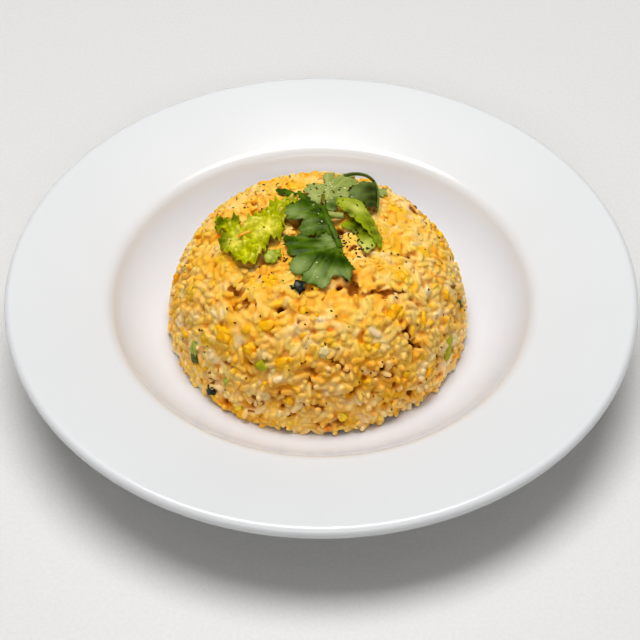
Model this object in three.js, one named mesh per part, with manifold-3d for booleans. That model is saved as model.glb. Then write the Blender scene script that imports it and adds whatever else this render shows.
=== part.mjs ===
// A plate of fried rice: a wide-rimmed porcelain plate, a moulded dome of rice in its well, and a
// garnish of coriander and other green leaves on top.
// Millimetres, +Z up. The origin is on the table under the middle of the plate.
import * as THREE from "three";
import { mergeVertices } from "three/addons/utils/BufferGeometryUtils.js";
import { ConvexHull } from "three/addons/math/ConvexHull.js";
import Module from "manifold-3d";

const wasm = await Module();
wasm.setup();

// ---------------------------------------------------------------- driving dimensions

const PLATE_RADIUS = 140;
const LIP_RADIUS = 3; // half the thickness of the rounded edge
const LIP_HEIGHT = 37.3; // middle of the rounded edge above the table
const RIM_SLOPE = 13; // degrees, rising outwards
const RIM_INNER_RADIUS = 96.5; // where the flat of the rim ends
const SHOULDER_RADIUS = 4; // rounding between the rim and the well
const WELL_SLOPE = 58; // degrees, the steepest part of the well's wall
const FLOOR_HEIGHT = 9;
const PLATE_WALL = 4.5;
const BASE_RECESS = 3; // hollow inside the foot ring
const FOOT_INNER_RADIUS = 62;
const FOOT_OUTER_RADIUS = 66;
const FOOT_FLARE = 3.5; // how much wider the foot is where it meets the well
const CHAMFER = 0.6; // at the foot's edges
const PLATE_SIDES = 48;

const HEAP_X = -1.6; // the dome stands a little left of the middle
const HEAP_RADIUS = 68;
const HEAP_RISE = 57; // above the floor of the well
const HEAP_SIDE_POWER = 3.8; // larger is a squarer shoulder
const HEAP_TOP_POWER = 1.9;
const HEAP_CLEARANCE = 0.35; // between the heap and the plate

const GRAIN_LENGTH = 6.6;
const GRAIN_WIDTH = 2.9;
const GRAIN_COUNT = 552;
const GRAIN_DEPTH = 1.9; // from the crest of a grain to the gap beside it
const FOOT_GAP = 2.6; // least distance between two low points
const CREST_GAP = 1.9; // least distance from a low point to a grain's crest
const LOOSE_GRAINS = 30;
const BASE_POINTS = 60; // round the foot of the heap
const LOWEST_GRAIN = 2; // above the floor of the well
const PIECE_SINK = 0.7; // how deep the middle of an egg or vegetable piece lies

const LEAF_THICKNESS = 0.8;
const LEAF_CLEARANCE = 0.5; // between the grains' crests and the lowest leaf
const LEAF_FACET = 8; // the longest edge of a leaf's triangles

const COLOURS = {
  porcelain: 0xe9e8e6,
  rice: 0xe3b45c,
  coriander: 0x3f7a2c,
  pale_green: 0x8aa368,
  dark_green: 0x22432b,
  yellow_green: 0xb6cc1e,
  bright_green: 0x8fbf2a,
  stem: 0xb9c48a,
  brown_stem: 0x7d7a34,
  carrot: 0xe08a24,
};

// ---------------------------------------------------------------- helpers

const radians = THREE.MathUtils.degToRad;

// A seeded random number from 0 to 1.
function randomFrom(seed) {
  let state = seed;
  return () => {
    state = (Math.imul(state, 1664525) + 1013904223) >>> 0;
    return state / 4294967296;
  };
}

// Points on an arc from one angle to another, both in degrees, with both ends.
function arc(x, y, radius, from, to, steps) {
  return Array.from({ length: steps + 1 }, (_, i) => {
    const angle = radians(from + ((to - from) * i) / steps);
    return [x + radius * Math.cos(angle), y + radius * Math.sin(angle)];
  });
}

// A three.js geometry as a manifold-3d solid.
function solidOf(geometry) {
  const bare = new THREE.BufferGeometry();
  bare.setAttribute("position", geometry.getAttribute("position"));
  if (geometry.index) bare.setIndex(geometry.index);
  const merged = mergeVertices(bare, 1e-4);
  const mesh = new wasm.Mesh({
    numProp: 3,
    vertProperties: merged.getAttribute("position").array,
    triVerts: new Uint32Array(merged.index.array),
  });
  return new wasm.Manifold(mesh);
}

// Joins geometries into one, within a limiting shape if there is one, keeping the largest body
// and dropping loose scraps.
function fuse(geometries, limit) {
  const joined = geometries.map(solidOf).reduce((whole, piece) => whole.add(piece));
  const trimmed = limit ? joined.intersect(solidOf(limit)) : joined;
  const bodies = trimmed.decompose().sort((a, b) => b.volume() - a.volume());
  const mesh = bodies[0].getMesh();
  const geometry = new THREE.BufferGeometry();
  geometry.setAttribute("position", new THREE.BufferAttribute(mesh.vertProperties, 3));
  geometry.setIndex(new THREE.BufferAttribute(mesh.triVerts, 1));
  return geometry;
}

// A closed geometry from points and triangles.
function geometryOf(points, triangles) {
  const geometry = new THREE.BufferGeometry();
  geometry.setAttribute("position", new THREE.Float32BufferAttribute(points.flat(), 3));
  geometry.setIndex(triangles.flat());
  return geometry;
}

const object = new THREE.Group();

function addPart(name, geometry, colour, roughness) {
  geometry.computeVertexNormals();
  const material = new THREE.MeshStandardMaterial({ color: colour, roughness, metalness: 0 });
  const mesh = new THREE.Mesh(geometry, material);
  mesh.name = name;
  object.add(mesh);
}

// ---------------------------------------------------------------- plate

// The well's wall: a hollow arc from the floor, then a small rounding to the slope of the rim.
const lipCentre = PLATE_RADIUS - LIP_RADIUS;
const slope = radians(RIM_SLOPE);
const steepest = radians(WELL_SLOPE);
const rimOuterRadius = lipCentre - LIP_RADIUS * Math.sin(slope);
const rimOuterHeight = LIP_HEIGHT + LIP_RADIUS * Math.cos(slope);
const rimInnerHeight = rimOuterHeight - (rimOuterRadius - RIM_INNER_RADIUS) * Math.tan(slope);
const shoulderX = RIM_INNER_RADIUS + SHOULDER_RADIUS * Math.sin(slope);
const shoulderZ = rimInnerHeight - SHOULDER_RADIUS * Math.cos(slope);
const wallTopRadius = shoulderX - SHOULDER_RADIUS * Math.sin(steepest);
const wallTopHeight = shoulderZ + SHOULDER_RADIUS * Math.cos(steepest);
const wallRadius = (wallTopHeight - FLOOR_HEIGHT) / (1 - Math.cos(steepest));
const floorRadius = wallTopRadius - wallRadius * Math.sin(steepest);

// The upper face of the well, from the top of its wall down to the floor.
const wallFace = arc(floorRadius, FLOOR_HEIGHT + wallRadius, wallRadius, WELL_SLOPE - 90, -90, 6);

// A profile of [radius, height] points turned round the plate's axis.
function turned(profile) {
  const points = profile.map(([radius, height]) => new THREE.Vector2(radius, height));
  return new THREE.LatheGeometry(points, PLATE_SIDES).rotateX(Math.PI / 2);
}

function plateGeometry() {
  const wallCentre = FLOOR_HEIGHT + wallRadius;
  const outerWall = wallRadius + PLATE_WALL;
  const footTop = FOOT_OUTER_RADIUS + FOOT_FLARE;
  const outerStart = THREE.MathUtils.radToDeg(Math.asin((footTop - floorRadius) / outerWall));
  const profile = [
    [0, BASE_RECESS],
    [FOOT_INNER_RADIUS - BASE_RECESS / 2, BASE_RECESS],
    [FOOT_INNER_RADIUS - CHAMFER, CHAMFER],
    [FOOT_INNER_RADIUS, 0],
    [FOOT_OUTER_RADIUS, 0],
    [FOOT_OUTER_RADIUS + CHAMFER, CHAMFER],
    ...arc(floorRadius, wallCentre, outerWall, outerStart - 90, WELL_SLOPE - 91, 4),
    [lipCentre - 6, LIP_HEIGHT - LIP_RADIUS + 0.1],
    ...arc(lipCentre, LIP_HEIGHT, LIP_RADIUS, -95, 90 + RIM_SLOPE, 6),
    ...arc(shoulderX, shoulderZ, SHOULDER_RADIUS, 90 + RIM_SLOPE, 90 + WELL_SLOPE, 3),
    ...wallFace.slice(1),
    [0, FLOOR_HEIGHT],
  ];
  return turned(profile);
}

// The room inside the well that the heap may fill.
function wellRoomGeometry() {
  const top = FLOOR_HEIGHT + 2 * HEAP_RISE;
  const raised = wallFace.map(([radius, height]) => [radius, height + HEAP_CLEARANCE]);
  const profile = [[0, FLOOR_HEIGHT + HEAP_CLEARANCE], ...raised.reverse()];
  return turned([...profile, [wallTopRadius, top], [0, top]]);
}

addPart("plate", plateGeometry(), COLOURS.porcelain, 0.25);

// ---------------------------------------------------------------- rice

// The heap's smooth outer face, over the crests of the grains: its height at a distance from its
// axis, and the point and outward direction at an angle round the axis and a height.
function heapHeight(distance) {
  const share = Math.min(1, distance / HEAP_RADIUS) ** HEAP_SIDE_POWER;
  return FLOOR_HEIGHT + HEAP_RISE * (1 - share) ** (1 / HEAP_TOP_POWER);
}

function heapDistance(height) {
  const share = ((height - FLOOR_HEIGHT) / HEAP_RISE) ** HEAP_TOP_POWER;
  return HEAP_RADIUS * Math.max(0, 1 - share) ** (1 / HEAP_SIDE_POWER);
}

function heapFace(angle, height) {
  const distance = heapDistance(height);
  const out =
    (HEAP_SIDE_POWER * (distance / HEAP_RADIUS) ** (HEAP_SIDE_POWER - 1)) / HEAP_RADIUS;
  const up =
    (HEAP_TOP_POWER * ((height - FLOOR_HEIGHT) / HEAP_RISE) ** (HEAP_TOP_POWER - 1)) / HEAP_RISE;
  const axis = new THREE.Vector3(Math.cos(angle), Math.sin(angle), 0);
  const point = axis.clone().multiplyScalar(distance).setZ(height);
  const normal = axis.clone().multiplyScalar(out).setZ(up).normalize();
  return { point, normal };
}

// Heights that cut the heap's face into bands of equal area, one for each of count pieces.
function evenHeights(count) {
  const steps = 400;
  const lengths = [0];
  const heights = [];
  for (let i = 0; i <= steps; i++) {
    const turn = (i / steps) * (Math.PI / 2);
    heights.push(FLOOR_HEIGHT + HEAP_RISE * Math.sin(turn));
    if (i === 0) continue;
    const a = heapDistance(heights[i - 1]);
    const b = heapDistance(heights[i]);
    const along = Math.hypot(a - b, heights[i] - heights[i - 1]);
    lengths.push(lengths[i - 1] + along * Math.PI * (a + b));
  }
  return Array.from({ length: count }, (_, k) => {
    const target = ((k + 0.5) / count) * lengths[steps];
    const i = lengths.findIndex((value) => value >= target);
    const share = (target - lengths[i - 1]) / (lengths[i] - lengths[i - 1]);
    return heights[i - 1] + (heights[i] - heights[i - 1]) * share;
  });
}

// Grains lie flat on the heap's face, each pointing its own way.
function grainSites(count, random) {
  const golden = Math.PI * (3 - Math.sqrt(5));
  return evenHeights(count).map((height, k) => {
    const lift = Math.max(FLOOR_HEIGHT + LOWEST_GRAIN, height + (random() - 0.5) * 1.5);
    const { point, normal } = heapFace(k * golden + (random() - 0.5) * 0.05, lift);
    const across = new THREE.Vector3().crossVectors(normal, new THREE.Vector3(0, 0, 1));
    if (across.length() < 0.05) across.set(1, 0, 0);
    const along = across.normalize().applyAxisAngle(normal, random() * Math.PI);
    return { point, normal, along, size: 0.85 + 0.3 * random(), sink: 0.7 * random() };
  });
}

// Moves a point from the heap's face along a grain, across it and down into the heap.
function offset(site, alongBy, acrossBy, depth) {
  const across = new THREE.Vector3().crossVectors(site.normal, site.along);
  return site.point
    .clone()
    .addScaledVector(site.along, alongBy)
    .addScaledVector(across, acrossBy)
    .addScaledVector(site.normal, -depth);
}

// The core: every grain raises a ridge of two crest points between foot points at its sides and
// ends. A foot is left out where it would fall on another grain or beside another foot.
function coreGeometry(random) {
  const crests = [];
  const feet = [];
  const sites = grainSites(GRAIN_COUNT, random);
  for (const site of sites) {
    const half = 0.31 * GRAIN_LENGTH * site.size;
    crests.push(offset(site, half, 0, site.sink + 0.25), offset(site, -half, 0, site.sink + 0.25));
  }
  const far = (point, others, gap) => others.every((other) => other.distanceTo(point) > gap);
  for (const site of sites) {
    const side = 0.62 * GRAIN_WIDTH;
    const end = 0.6 * GRAIN_LENGTH;
    for (const [alongBy, acrossBy] of [[0, side], [0, -side], [end, 0], [-end, 0]]) {
      const foot = offset(site, alongBy, acrossBy, GRAIN_DEPTH + 0.5 * random());
      const clear = far(foot, crests, CREST_GAP) && far(foot, feet, FOOT_GAP);
      if (clear && foot.z > FLOOR_HEIGHT + LOWEST_GRAIN / 2) feet.push(foot);
    }
  }
  const bottom = FLOOR_HEIGHT - 1;
  const base = [new THREE.Vector3(0, 0, bottom)];
  for (let i = 0; i < BASE_POINTS; i++) {
    const turn = (i / BASE_POINTS) * 2 * Math.PI;
    const rim = new THREE.Vector3(Math.cos(turn), Math.sin(turn), 0);
    base.push(rim.multiplyScalar(HEAP_RADIUS - GRAIN_DEPTH).setZ(bottom));
  }
  // The heap is open to a point inside it, so directions from there say which points meet.
  const points = [...crests, ...feet, ...base];
  const heart = new THREE.Vector3(0, 0, FLOOR_HEIGHT + 0.4 * HEAP_RISE);
  const directions = points.map((point) => point.clone().sub(heart).normalize());
  const order = new Map(directions.map((direction, i) => [direction, i]));
  const triangles = new ConvexHull().setFromPoints(directions).faces.map((face) => {
    const edge = face.edge;
    return [edge, edge.next, edge.next.next].map((side) => order.get(side.head().point));
  });
  return geometryOf(points.map((point) => [HEAP_X + point.x, point.y, point.z]), triangles);
}

// A piece set in the heap's face: six sides, blunt ends, its middle sunk by a share of its height.
function pieceGeometry(site, length, width, height, sink) {
  const profile = [[0, -0.5], [0.36, -0.32], [0.5, 0], [0.36, 0.32], [0, 0.5]];
  const points = profile.map(([radius, along]) => new THREE.Vector2(radius, along));
  const geometry = new THREE.LatheGeometry(points, 6).scale(width, length, height);
  const across = new THREE.Vector3().crossVectors(site.along, site.normal);
  const turn = new THREE.Matrix4().makeBasis(across, site.along, site.normal);
  const place = offset(site, 0, 0, sink);
  return geometry.applyMatrix4(turn).translate(HEAP_X + place.x, place.y, place.z);
}

// Egg, spring onion, corn and carrot that show in the face of the heap. The angle goes round the
// heap from +X and the heading leans the piece from level, both in degrees.
const PIECES = [
  { kind: "egg", angle: 190, height: 31, length: 10, width: 6, heading: 70 },
  { kind: "egg", angle: 236, height: 41, length: 6, width: 5, heading: 20 },
  { kind: "egg", angle: 229, height: 24, length: 8, width: 6, heading: 10 },
  { kind: "egg", angle: 247, height: 52, length: 7, width: 4.5, heading: 150 },
  { kind: "egg", angle: 254, height: 39, length: 7, width: 5, heading: 110 },
  { kind: "egg", angle: 306, height: 55, length: 7, width: 5, heading: 40 },
  { kind: "egg", angle: 205, height: 46, length: 5, width: 4.5, heading: 60 },
  { kind: "egg", angle: 120, height: 38, length: 8, width: 6, heading: 30 },
  { kind: "egg", angle: 60, height: 30, length: 8, width: 5, heading: 130 },
  { kind: "egg", angle: 20, height: 44, length: 7, width: 5, heading: 80 },
  { kind: "onion", angle: 215, height: 29, length: 9, width: 5, heading: 120 },
  { kind: "onion", angle: 225, height: 16, length: 6, width: 4.5, heading: 60 },
  { kind: "onion", angle: 232, height: 27, length: 4.5, width: 3.5, heading: 40 },
  { kind: "onion", angle: 247, height: 42, length: 6, width: 5, heading: 20 },
  { kind: "onion", angle: 331, height: 27, length: 11, width: 4.5, heading: 60 },
  { kind: "onion", angle: 352, height: 30, length: 6, width: 3, heading: 85 },
  { kind: "onion", angle: 150, height: 32, length: 8, width: 4.5, heading: 50 },
  { kind: "onion", angle: 85, height: 45, length: 7, width: 4.5, heading: 20 },
  { kind: "corn", angle: 279, height: 20, length: 5, width: 4.5, heading: 0 },
  { kind: "carrot", angle: 268, height: 13.5, length: 8, width: 3, heading: 5 },
];

function riceGeometry() {
  const random = randomFrom(41);
  const solids = [coreGeometry(random)];
  for (const piece of PIECES) {
    const { point, normal } = heapFace(radians(piece.angle), piece.height);
    const level = new THREE.Vector3(-point.y, point.x, 0).normalize();
    const along = level.applyAxisAngle(normal, radians(piece.heading));
    const tall = 0.7 * piece.width;
    const site = { point, normal, along };
    solids.push(pieceGeometry(site, piece.length, piece.width, tall, PIECE_SINK));
  }
  // Loose grains stand off the lower part of the heap, clear of the leaves on its top.
  const loose = grainSites(LOOSE_GRAINS * 2, random).slice(0, LOOSE_GRAINS);
  for (const site of loose) {
    const length = GRAIN_LENGTH * site.size;
    const sink = Math.max(0.2, 1.2 - (site.point.z - FLOOR_HEIGHT) / 8);
    solids.push(pieceGeometry(site, length, GRAIN_WIDTH, GRAIN_WIDTH, sink));
  }
  return fuse(solids, wellRoomGeometry());
}

addPart("rice_mound", riceGeometry(), COLOURS.rice, 0.45);

// ---------------------------------------------------------------- garnish

// How far a sheet floats over the heap: its own lift, a ripple, and slopes that carry it over
// what lies under it. A ramp is [from, to, rise]: it rises by rise between two values of an axis.
function liftAt(sheet, x, y) {
  const { lift = 0, ripple = 0, ripples = 1, along = 0, ramps = [] } = sheet;
  const run = x * Math.cos(radians(along)) + y * Math.sin(radians(along));
  const wave = 0.5 * ripple * (1 + Math.sin((2 * Math.PI * run * ripples) / 20));
  const climb = ramps.reduce((sum, { axis, from, to, rise }) => {
    const share = ((axis === "x" ? x : y) - from) / (to - from);
    return sum + rise * THREE.MathUtils.smoothstep(share, 0, 1);
  }, 0);
  return LEAF_CLEARANCE + lift + wave + climb;
}

// An outline in plan as triangles, with every edge longer than a limit halved.
function trianglesOf(outline, longest) {
  const points = outline.map(([x, y]) => new THREE.Vector2(x, y));
  let faces = THREE.ShapeUtils.triangulateShape(points, []);
  for (;;) {
    const edges = faces.flatMap((face) => face.map((from, i) => [from, face[(i + 1) % 3]]));
    const length = ([from, to]) => points[from].distanceTo(points[to]);
    const [from, to] = edges.reduce((most, edge) => (length(edge) > length(most) ? edge : most));
    if (length([from, to]) <= longest) return { points, faces, edges };
    const middle = points.push(points[from].clone().lerp(points[to], 0.5)) - 1;
    faces = faces.flatMap((face) => {
      const others = face.filter((corner) => corner !== from && corner !== to);
      if (others.length !== 1) return [face];
      const swap = (gone) => face.map((corner) => (corner === gone ? middle : corner));
      return [swap(from), swap(to)];
    });
  }
}

// A thin wavy sheet over the heap, from its outline in plan. Both faces are split alike.
function sheetGeometry(sheet) {
  const { points, faces, edges } = trianglesOf(sheet.outline, sheet.facet ?? LEAF_FACET);
  const count = points.length;
  const layer = (rise) =>
    points.map(({ x, y }) => {
      const height = heapHeight(Math.hypot(x, y)) + liftAt(sheet, x, y) + rise;
      return [HEAP_X + x, y, height];
    });
  const triangles = faces.flatMap(([a, b, c]) => [
    [a, c, b],
    [a + count, b + count, c + count],
  ]);
  const inside = new Set(edges.map(([from, to]) => `${from} ${to}`));
  for (const [from, to] of edges) {
    if (inside.has(`${to} ${from}`)) continue;
    triangles.push([from, to, to + count], [from, to + count, from + count]);
  }
  return geometryOf([...layer(0), ...layer(LEAF_THICKNESS)], triangles);
}

// A round or flat stalk along points [x, y, lift], where the lift is to its underside.
function stalkGeometry(route, width, height, sides = 6) {
  const points = route.map(([x, y, lift]) => {
    const z = heapHeight(Math.hypot(x, y)) + LEAF_CLEARANCE + lift + height / 2;
    return new THREE.Vector3(HEAP_X + x, y, z);
  });
  const curve = new THREE.CatmullRomCurve3(points);
  const steps = 3 * (route.length - 1);
  const rings = [];
  const up = new THREE.Vector3(0, 0, 1);
  for (let i = 0; i <= steps; i++) {
    const centre = curve.getPoint(i / steps);
    const across = new THREE.Vector3().crossVectors(curve.getTangent(i / steps), up).normalize();
    for (let k = 0; k < sides; k++) {
      const turn = (k / sides) * 2 * Math.PI;
      const point = centre.clone().addScaledVector(across, (width / 2) * Math.cos(turn));
      point.z += (height / 2) * Math.sin(turn);
      rings.push(point.toArray());
    }
  }
  const triangles = [];
  for (let i = 0; i < steps; i++) {
    for (let k = 0; k < sides; k++) {
      const a = i * sides + k;
      const b = i * sides + ((k + 1) % sides);
      triangles.push([a, a + sides, b + sides], [a, b + sides, b]);
    }
  }
  const last = steps * sides;
  for (let k = 1; k < sides - 1; k++) {
    triangles.push([0, k, k + 1], [last, last + k + 1, last + k]);
  }
  return geometryOf(rings, triangles);
}

// Leaf outlines go anticlockwise in plan, from the heap's axis.

const FRONT_RAMP = { axis: "y", from: -6, to: 4, rise: 3.2 };
const FRONT_UPPER = {
  outline: [[-8.5, 21.5], [-9.5, 14.5], [-12.5, 14], [-14.7, 11.2], [-12.6, 7.5], [-13, 4.6],
    [-10, 4.4], [-6.8, 5], [-5.5, 2.3], [-7.3, -0.8], [-4.2, -3.5], [0, -3.5], [5, -4],
    [7.8, -3.8], [2.6, 6], [1, 10], [-1.6, 13.8], [-5.3, 18]],
  lift: 0.2,
  ripple: 0.8,
  along: 30,
  ramps: [FRONT_RAMP],
};
const FRONT_LOWER = {
  outline: [[9.4, -1.4], [3.7, -0.7], [-2.6, -3], [-9.4, -3], [-15.9, -2.1], [-14.4, -5],
    [-15.3, -8.4], [-12, -12.5], [-12.6, -16], [-12.8, -22], [-9, -26.8], [-6.6, -27.3],
    [-8, -30.3], [-4, -30.4], [0, -33.2], [4.6, -32.5], [6, -28.5], [10.2, -27.7], [13, -29.7],
    [14.6, -25.3], [16.4, -22], [13.9, -17.3], [11.4, -11.8], [9.4, -6]],
  ripple: 1.0,
  along: 60,
  ramps: [FRONT_RAMP],
};
const FRONT_STALK = [[-1.6, 11.5, 3.2], [2.2, 3.8, 3.2], [6, -3.8, 1.2], [7, -11, 0.1]];

const BACK_LEAF = {
  outline: [[0.5, 13.6], [1.6, 19], [4, 18.6], [4.2, 13.1], [8.5, 13.6], [8.5, 18.8],
    [12.4, 20], [13, 24], [13.2, 30], [16.6, 33.5], [14.6, 37], [16.8, 44.5], [11, 42],
    [8, 36.5], [7.1, 44.5], [4.4, 46], [2.4, 41], [2.9, 34], [0, 32.5], [-3.3, 31.2],
    [-5.9, 28], [-3.6, 24], [-4.3, 22], [-1.6, 15.5]],
  ripple: 1.2,
  along: 20,
};

const CURLED_FACE = {
  outline: [[14.4, 21], [18.4, 18.8], [20.6, 18.2], [21, 14.6], [23.3, 13.4], [25, 19.5],
    [25.2, 27.2], [23.3, 34.9], [20.1, 34.7], [16.6, 30.6], [14.4, 26]],
  lift: 0.3,
  ripple: 0.8,
  along: 100,
  ramps: [{ axis: "x", from: 14, to: 25, rise: 1.2 }],
};
const CURLED_RIM = [[11.9, 48.4, 0.2], [17.4, 46, 2.4], [22.3, 41.5, 3], [25.4, 33, 2.8],
  [26, 24, 2], [25.2, 14, 0.5]];

const SMALL_LEAFLET = {
  outline: [[-18.9, 29], [-16.7, 25], [-13.4, 23], [-10.4, 23], [-9.4, 24.4], [-10.2, 26.2],
    [-12.9, 27.8], [-16.2, 29.4]],
  ripple: 0.4,
};

const FAR_TIP = {
  outline: [[28, 25.4], [29.6, 25.2], [31.8, 30.7], [31.6, 36], [28.2, 33.3]],
  ripple: 0.4,
};

const FRILLY_LEAF = {
  outline: [[-44.8, 11.9], [-40.1, 5], [-38.9, 2.2], [-41.5, -1.3], [-43, -2.8], [-40.7, -8.1],
    [-34.1, -14.8], [-29.8, -18.5], [-24.7, -15.2], [-22.5, -10.5], [-21.3, -6.5], [-17.5, -5],
    [-16.4, 1.2], [-15.6, 5], [-14.2, 9], [-12.4, 14.6], [-9.2, 17.6], [-11.2, 19.3],
    [-17.6, 18.4], [-22.3, 15.5], [-21.7, 12], [-25.4, 11.2], [-30.6, 7.8], [-33.8, 7.2],
    [-36.7, 12.9], [-39.8, 7.8], [-43.4, 13.6]],
  facet: 6,
  ripple: 1.8,
  ripples: 2.6,
  along: 35,
};

// One leaf folded over on itself along its right edge.
const FOLD_RAMP = { axis: "x", from: 27, to: 12, rise: 3.2 };
const FOLDED_UPPER = {
  outline: [[8.5, 16], [8.4, 12.8], [9.5, 9], [13.1, 7.4], [16.2, 3.8], [18.8, 1.4],
    [20.9, 0.4], [23.4, -4.3], [25.4, -8], [26.4, -10.5], [27.6, -6.1], [24.8, 3.3],
    [21.8, 10.9], [18.5, 16]],
  lift: 1.0,
  ramps: [FOLD_RAMP],
};
const FOLDED_LOWER = {
  outline: [[10.8, 3], [12.4, 1.4], [15.7, -0.8], [17.2, -5.3], [18.7, -8.8], [20.7, -12.6],
    [24.9, -9.4], [27.4, -6.1], [25.4, 0.5], [23.6, 5], [20.4, 5.4], [16.8, 4.4]],
  lift: 0.3,
  ramps: [{ axis: "x", from: 20, to: 27, rise: 0.5 }],
};

const CUT_STEM = [[5.2, 10.4, 0.2], [8.4, 8.8, 0.1], [11.8, 8.2, 0]];
const BROWN_STEM = [[2.9, 20.4, 2.4], [3.2, 15.7, 2.5], [3.7, 11.4, 3.2]];

const PALE_BIT = {
  outline: [[-23.4, -14.7], [-21.4, -17.2], [-18.8, -19.1], [-16.6, -15.4], [-16.7, -11],
    [-18.8, -12.2], [-20.8, -11.4]],
  ripple: 0.5,
};

const DARK_SCRAP = {
  outline: [[-11.7, -31.4], [-9.6, -33], [-7.8, -36.2], [-5.6, -33.6], [-5.3, -31.9],
    [-8.4, -30.9]],
};

const CARROT_SHRED = [[-34.6, -4, 3], [-31.8, -3.1, 3.2], [-29, -2.1, 3]];

addPart(
  "coriander_leaf_front",
  fuse([
    sheetGeometry(FRONT_UPPER),
    sheetGeometry(FRONT_LOWER),
    stalkGeometry(FRONT_STALK, 1.8, 1.2),
  ]),
  COLOURS.coriander,
  0.5,
);
addPart("coriander_leaf_back", sheetGeometry(BACK_LEAF), COLOURS.pale_green, 0.6);
addPart(
  "coriander_leaf_curled",
  fuse([sheetGeometry(CURLED_FACE), stalkGeometry(CURLED_RIM, 2.2, 1.8)]),
  COLOURS.dark_green,
  0.45,
);
addPart("coriander_leaflet_small", sheetGeometry(SMALL_LEAFLET), COLOURS.coriander, 0.5);
addPart("coriander_tip_far", sheetGeometry(FAR_TIP), COLOURS.pale_green, 0.6);
addPart("frilly_leaf", sheetGeometry(FRILLY_LEAF), COLOURS.yellow_green, 0.45);
addPart(
  "folded_leaf",
  fuse([sheetGeometry(FOLDED_UPPER), sheetGeometry(FOLDED_LOWER)]),
  COLOURS.bright_green,
  0.45,
);
addPart("stem_cut", stalkGeometry(CUT_STEM, 3.4, 3.4), COLOURS.stem, 0.4);
addPart("stem_brown", stalkGeometry(BROWN_STEM, 1.6, 1.6), COLOURS.brown_stem, 0.5);
addPart("leaf_bit_pale", sheetGeometry(PALE_BIT), COLOURS.stem, 0.5);
addPart("leaf_scrap_dark", sheetGeometry(DARK_SCRAP), COLOURS.dark_green, 0.5);
addPart("carrot_shred", stalkGeometry(CARROT_SHRED, 1.6, 1), COLOURS.carrot, 0.45);

export default object;
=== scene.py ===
"""A plate of fried rice: a wide-rimmed porcelain plate, a moulded dome of rice and a leaf garnish."""
import math
import random

import bmesh
import bpy
import numpy as np
from mathutils import Matrix, Vector, noise
from mathutils.bvhtree import BVHTree
from mathutils.geometry import delaunay_2d_cdt
from mathutils.kdtree import KDTree


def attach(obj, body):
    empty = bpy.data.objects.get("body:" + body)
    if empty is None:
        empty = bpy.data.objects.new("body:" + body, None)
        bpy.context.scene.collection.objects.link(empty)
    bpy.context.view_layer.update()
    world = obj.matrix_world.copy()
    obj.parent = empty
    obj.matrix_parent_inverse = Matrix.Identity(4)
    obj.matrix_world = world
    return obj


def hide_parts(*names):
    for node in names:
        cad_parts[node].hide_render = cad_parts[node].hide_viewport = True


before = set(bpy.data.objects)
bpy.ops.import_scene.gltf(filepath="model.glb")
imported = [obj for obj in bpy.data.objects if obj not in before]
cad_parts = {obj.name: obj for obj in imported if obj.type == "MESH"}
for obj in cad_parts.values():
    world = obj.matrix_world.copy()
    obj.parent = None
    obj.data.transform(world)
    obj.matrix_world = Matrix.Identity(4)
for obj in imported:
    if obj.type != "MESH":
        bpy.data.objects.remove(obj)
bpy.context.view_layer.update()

MM = 0.001

# ------------------------------------------------------------------ sizes, in millimetres

PLATE_RADIUS = 140
LIP_RADIUS = 3
LIP_HEIGHT = 37.3
RIM_SLOPE = math.radians(13)
# The glaze rounds the shoulder about the same corner as in the solid, where it is sharper.
RIM_INNER_RADIUS = 98.2
SHOULDER_RADIUS = 9
WELL_SLOPE = math.radians(55.5)
FLOOR_HEIGHT = 9
PLATE_WALL = 4.5
BASE_RECESS = 3
FOOT_INNER_RADIUS = 62
FOOT_OUTER_RADIUS = 66
FOOT_FLARE = 3.5
CHAMFER = 0.6
PLATE_STEPS = 160
QUARTER_TURN = math.pi / 2

HEAP_X = -1.6
HEAP_AXIS = np.array([HEAP_X, 0, 0])
HEAP_RADIUS = 68
HEAP_RISE = 57
HEAP_SIDE_POWER = 3.8
HEAP_TOP_POWER = 1.9

GRAIN_LENGTH = 7.1
GRAIN_WIDTH = 2.8
GRAIN_FLATNESS = 0.86
GRAIN_DENT = 0.32
GRAIN_SHAPES = 12
OUTER, INNER, LOOSE = range(3)  # the layers of grains
LAYERS = [(1900, 1.5, 0.4), (1100, 3.6, 0.5), (240, 0.8, 0.6)]  # grains, depth and tilt of each
BROKEN_GRAINS = 0.28  # the share of grains that are broken, and so shorter
LOOSE_ANGLE = 275  # degrees round the heap, where its lower face is loosest
LOOSE_REACH = 32  # degrees to each side of it, and the degrees over which it fades
LOOSE_FADE = 30
LOOSE_HEIGHT = 38  # the heap is loose up to here, and pressed firmly this much higher
PRESSED_RISE = 16
PRESSED_SIDES = 0.8  # how firmly its sides are pressed
PATCHINESS = 0.7  # how much that differs from patch to patch, and the patches' size
PATCH_SIZE = 13
FREE_STAND = 0.15  # how far rice stands out of the mould's face where it is pressed
LOOSE_STAND = 1.3  # and how much farther where it is loose
MOULD_FORCE = 0.85  # of what stands out farther, the share that is pressed back
LOOSE_DEPTH = 4.2  # from the crests of the grains to the pressed rice, where the heap is loose
PRESSED_DEPTH = 2.4  # and where the mould has pressed it
MASS_VOXEL = 0.8
MASS_BASE = FLOOR_HEIGHT + 0.9  # where the melted skin is cut off level, over the well's floor
HEART_BASE = FLOOR_HEIGHT + 0.4
HEART_RINGS = 96
MASS_SHRINK = 0.04  # how far the melted skin lies back, so that whole grains stand out of it
LOOSE_SHRINK = 0.12  # and how much farther where the heap is loose
CLUMPS = 420  # grains stick together in clumps, with gaps between them
CLUMP_GAP = 1.7
CLUMP_GAP_WIDTH = 1.2
CLUMP_TONE = 0.11  # how far one clump's tone is from another's
GOLDEN_ANGLE = math.pi * (3 - math.sqrt(5))  # from one grain to the next, for an even spread

LEAF_CLEARANCE = 0.5
LEAF_THICKNESS = 0.35
LEAF_SPACING = 0.62  # between the points of a leaf's mesh

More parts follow.
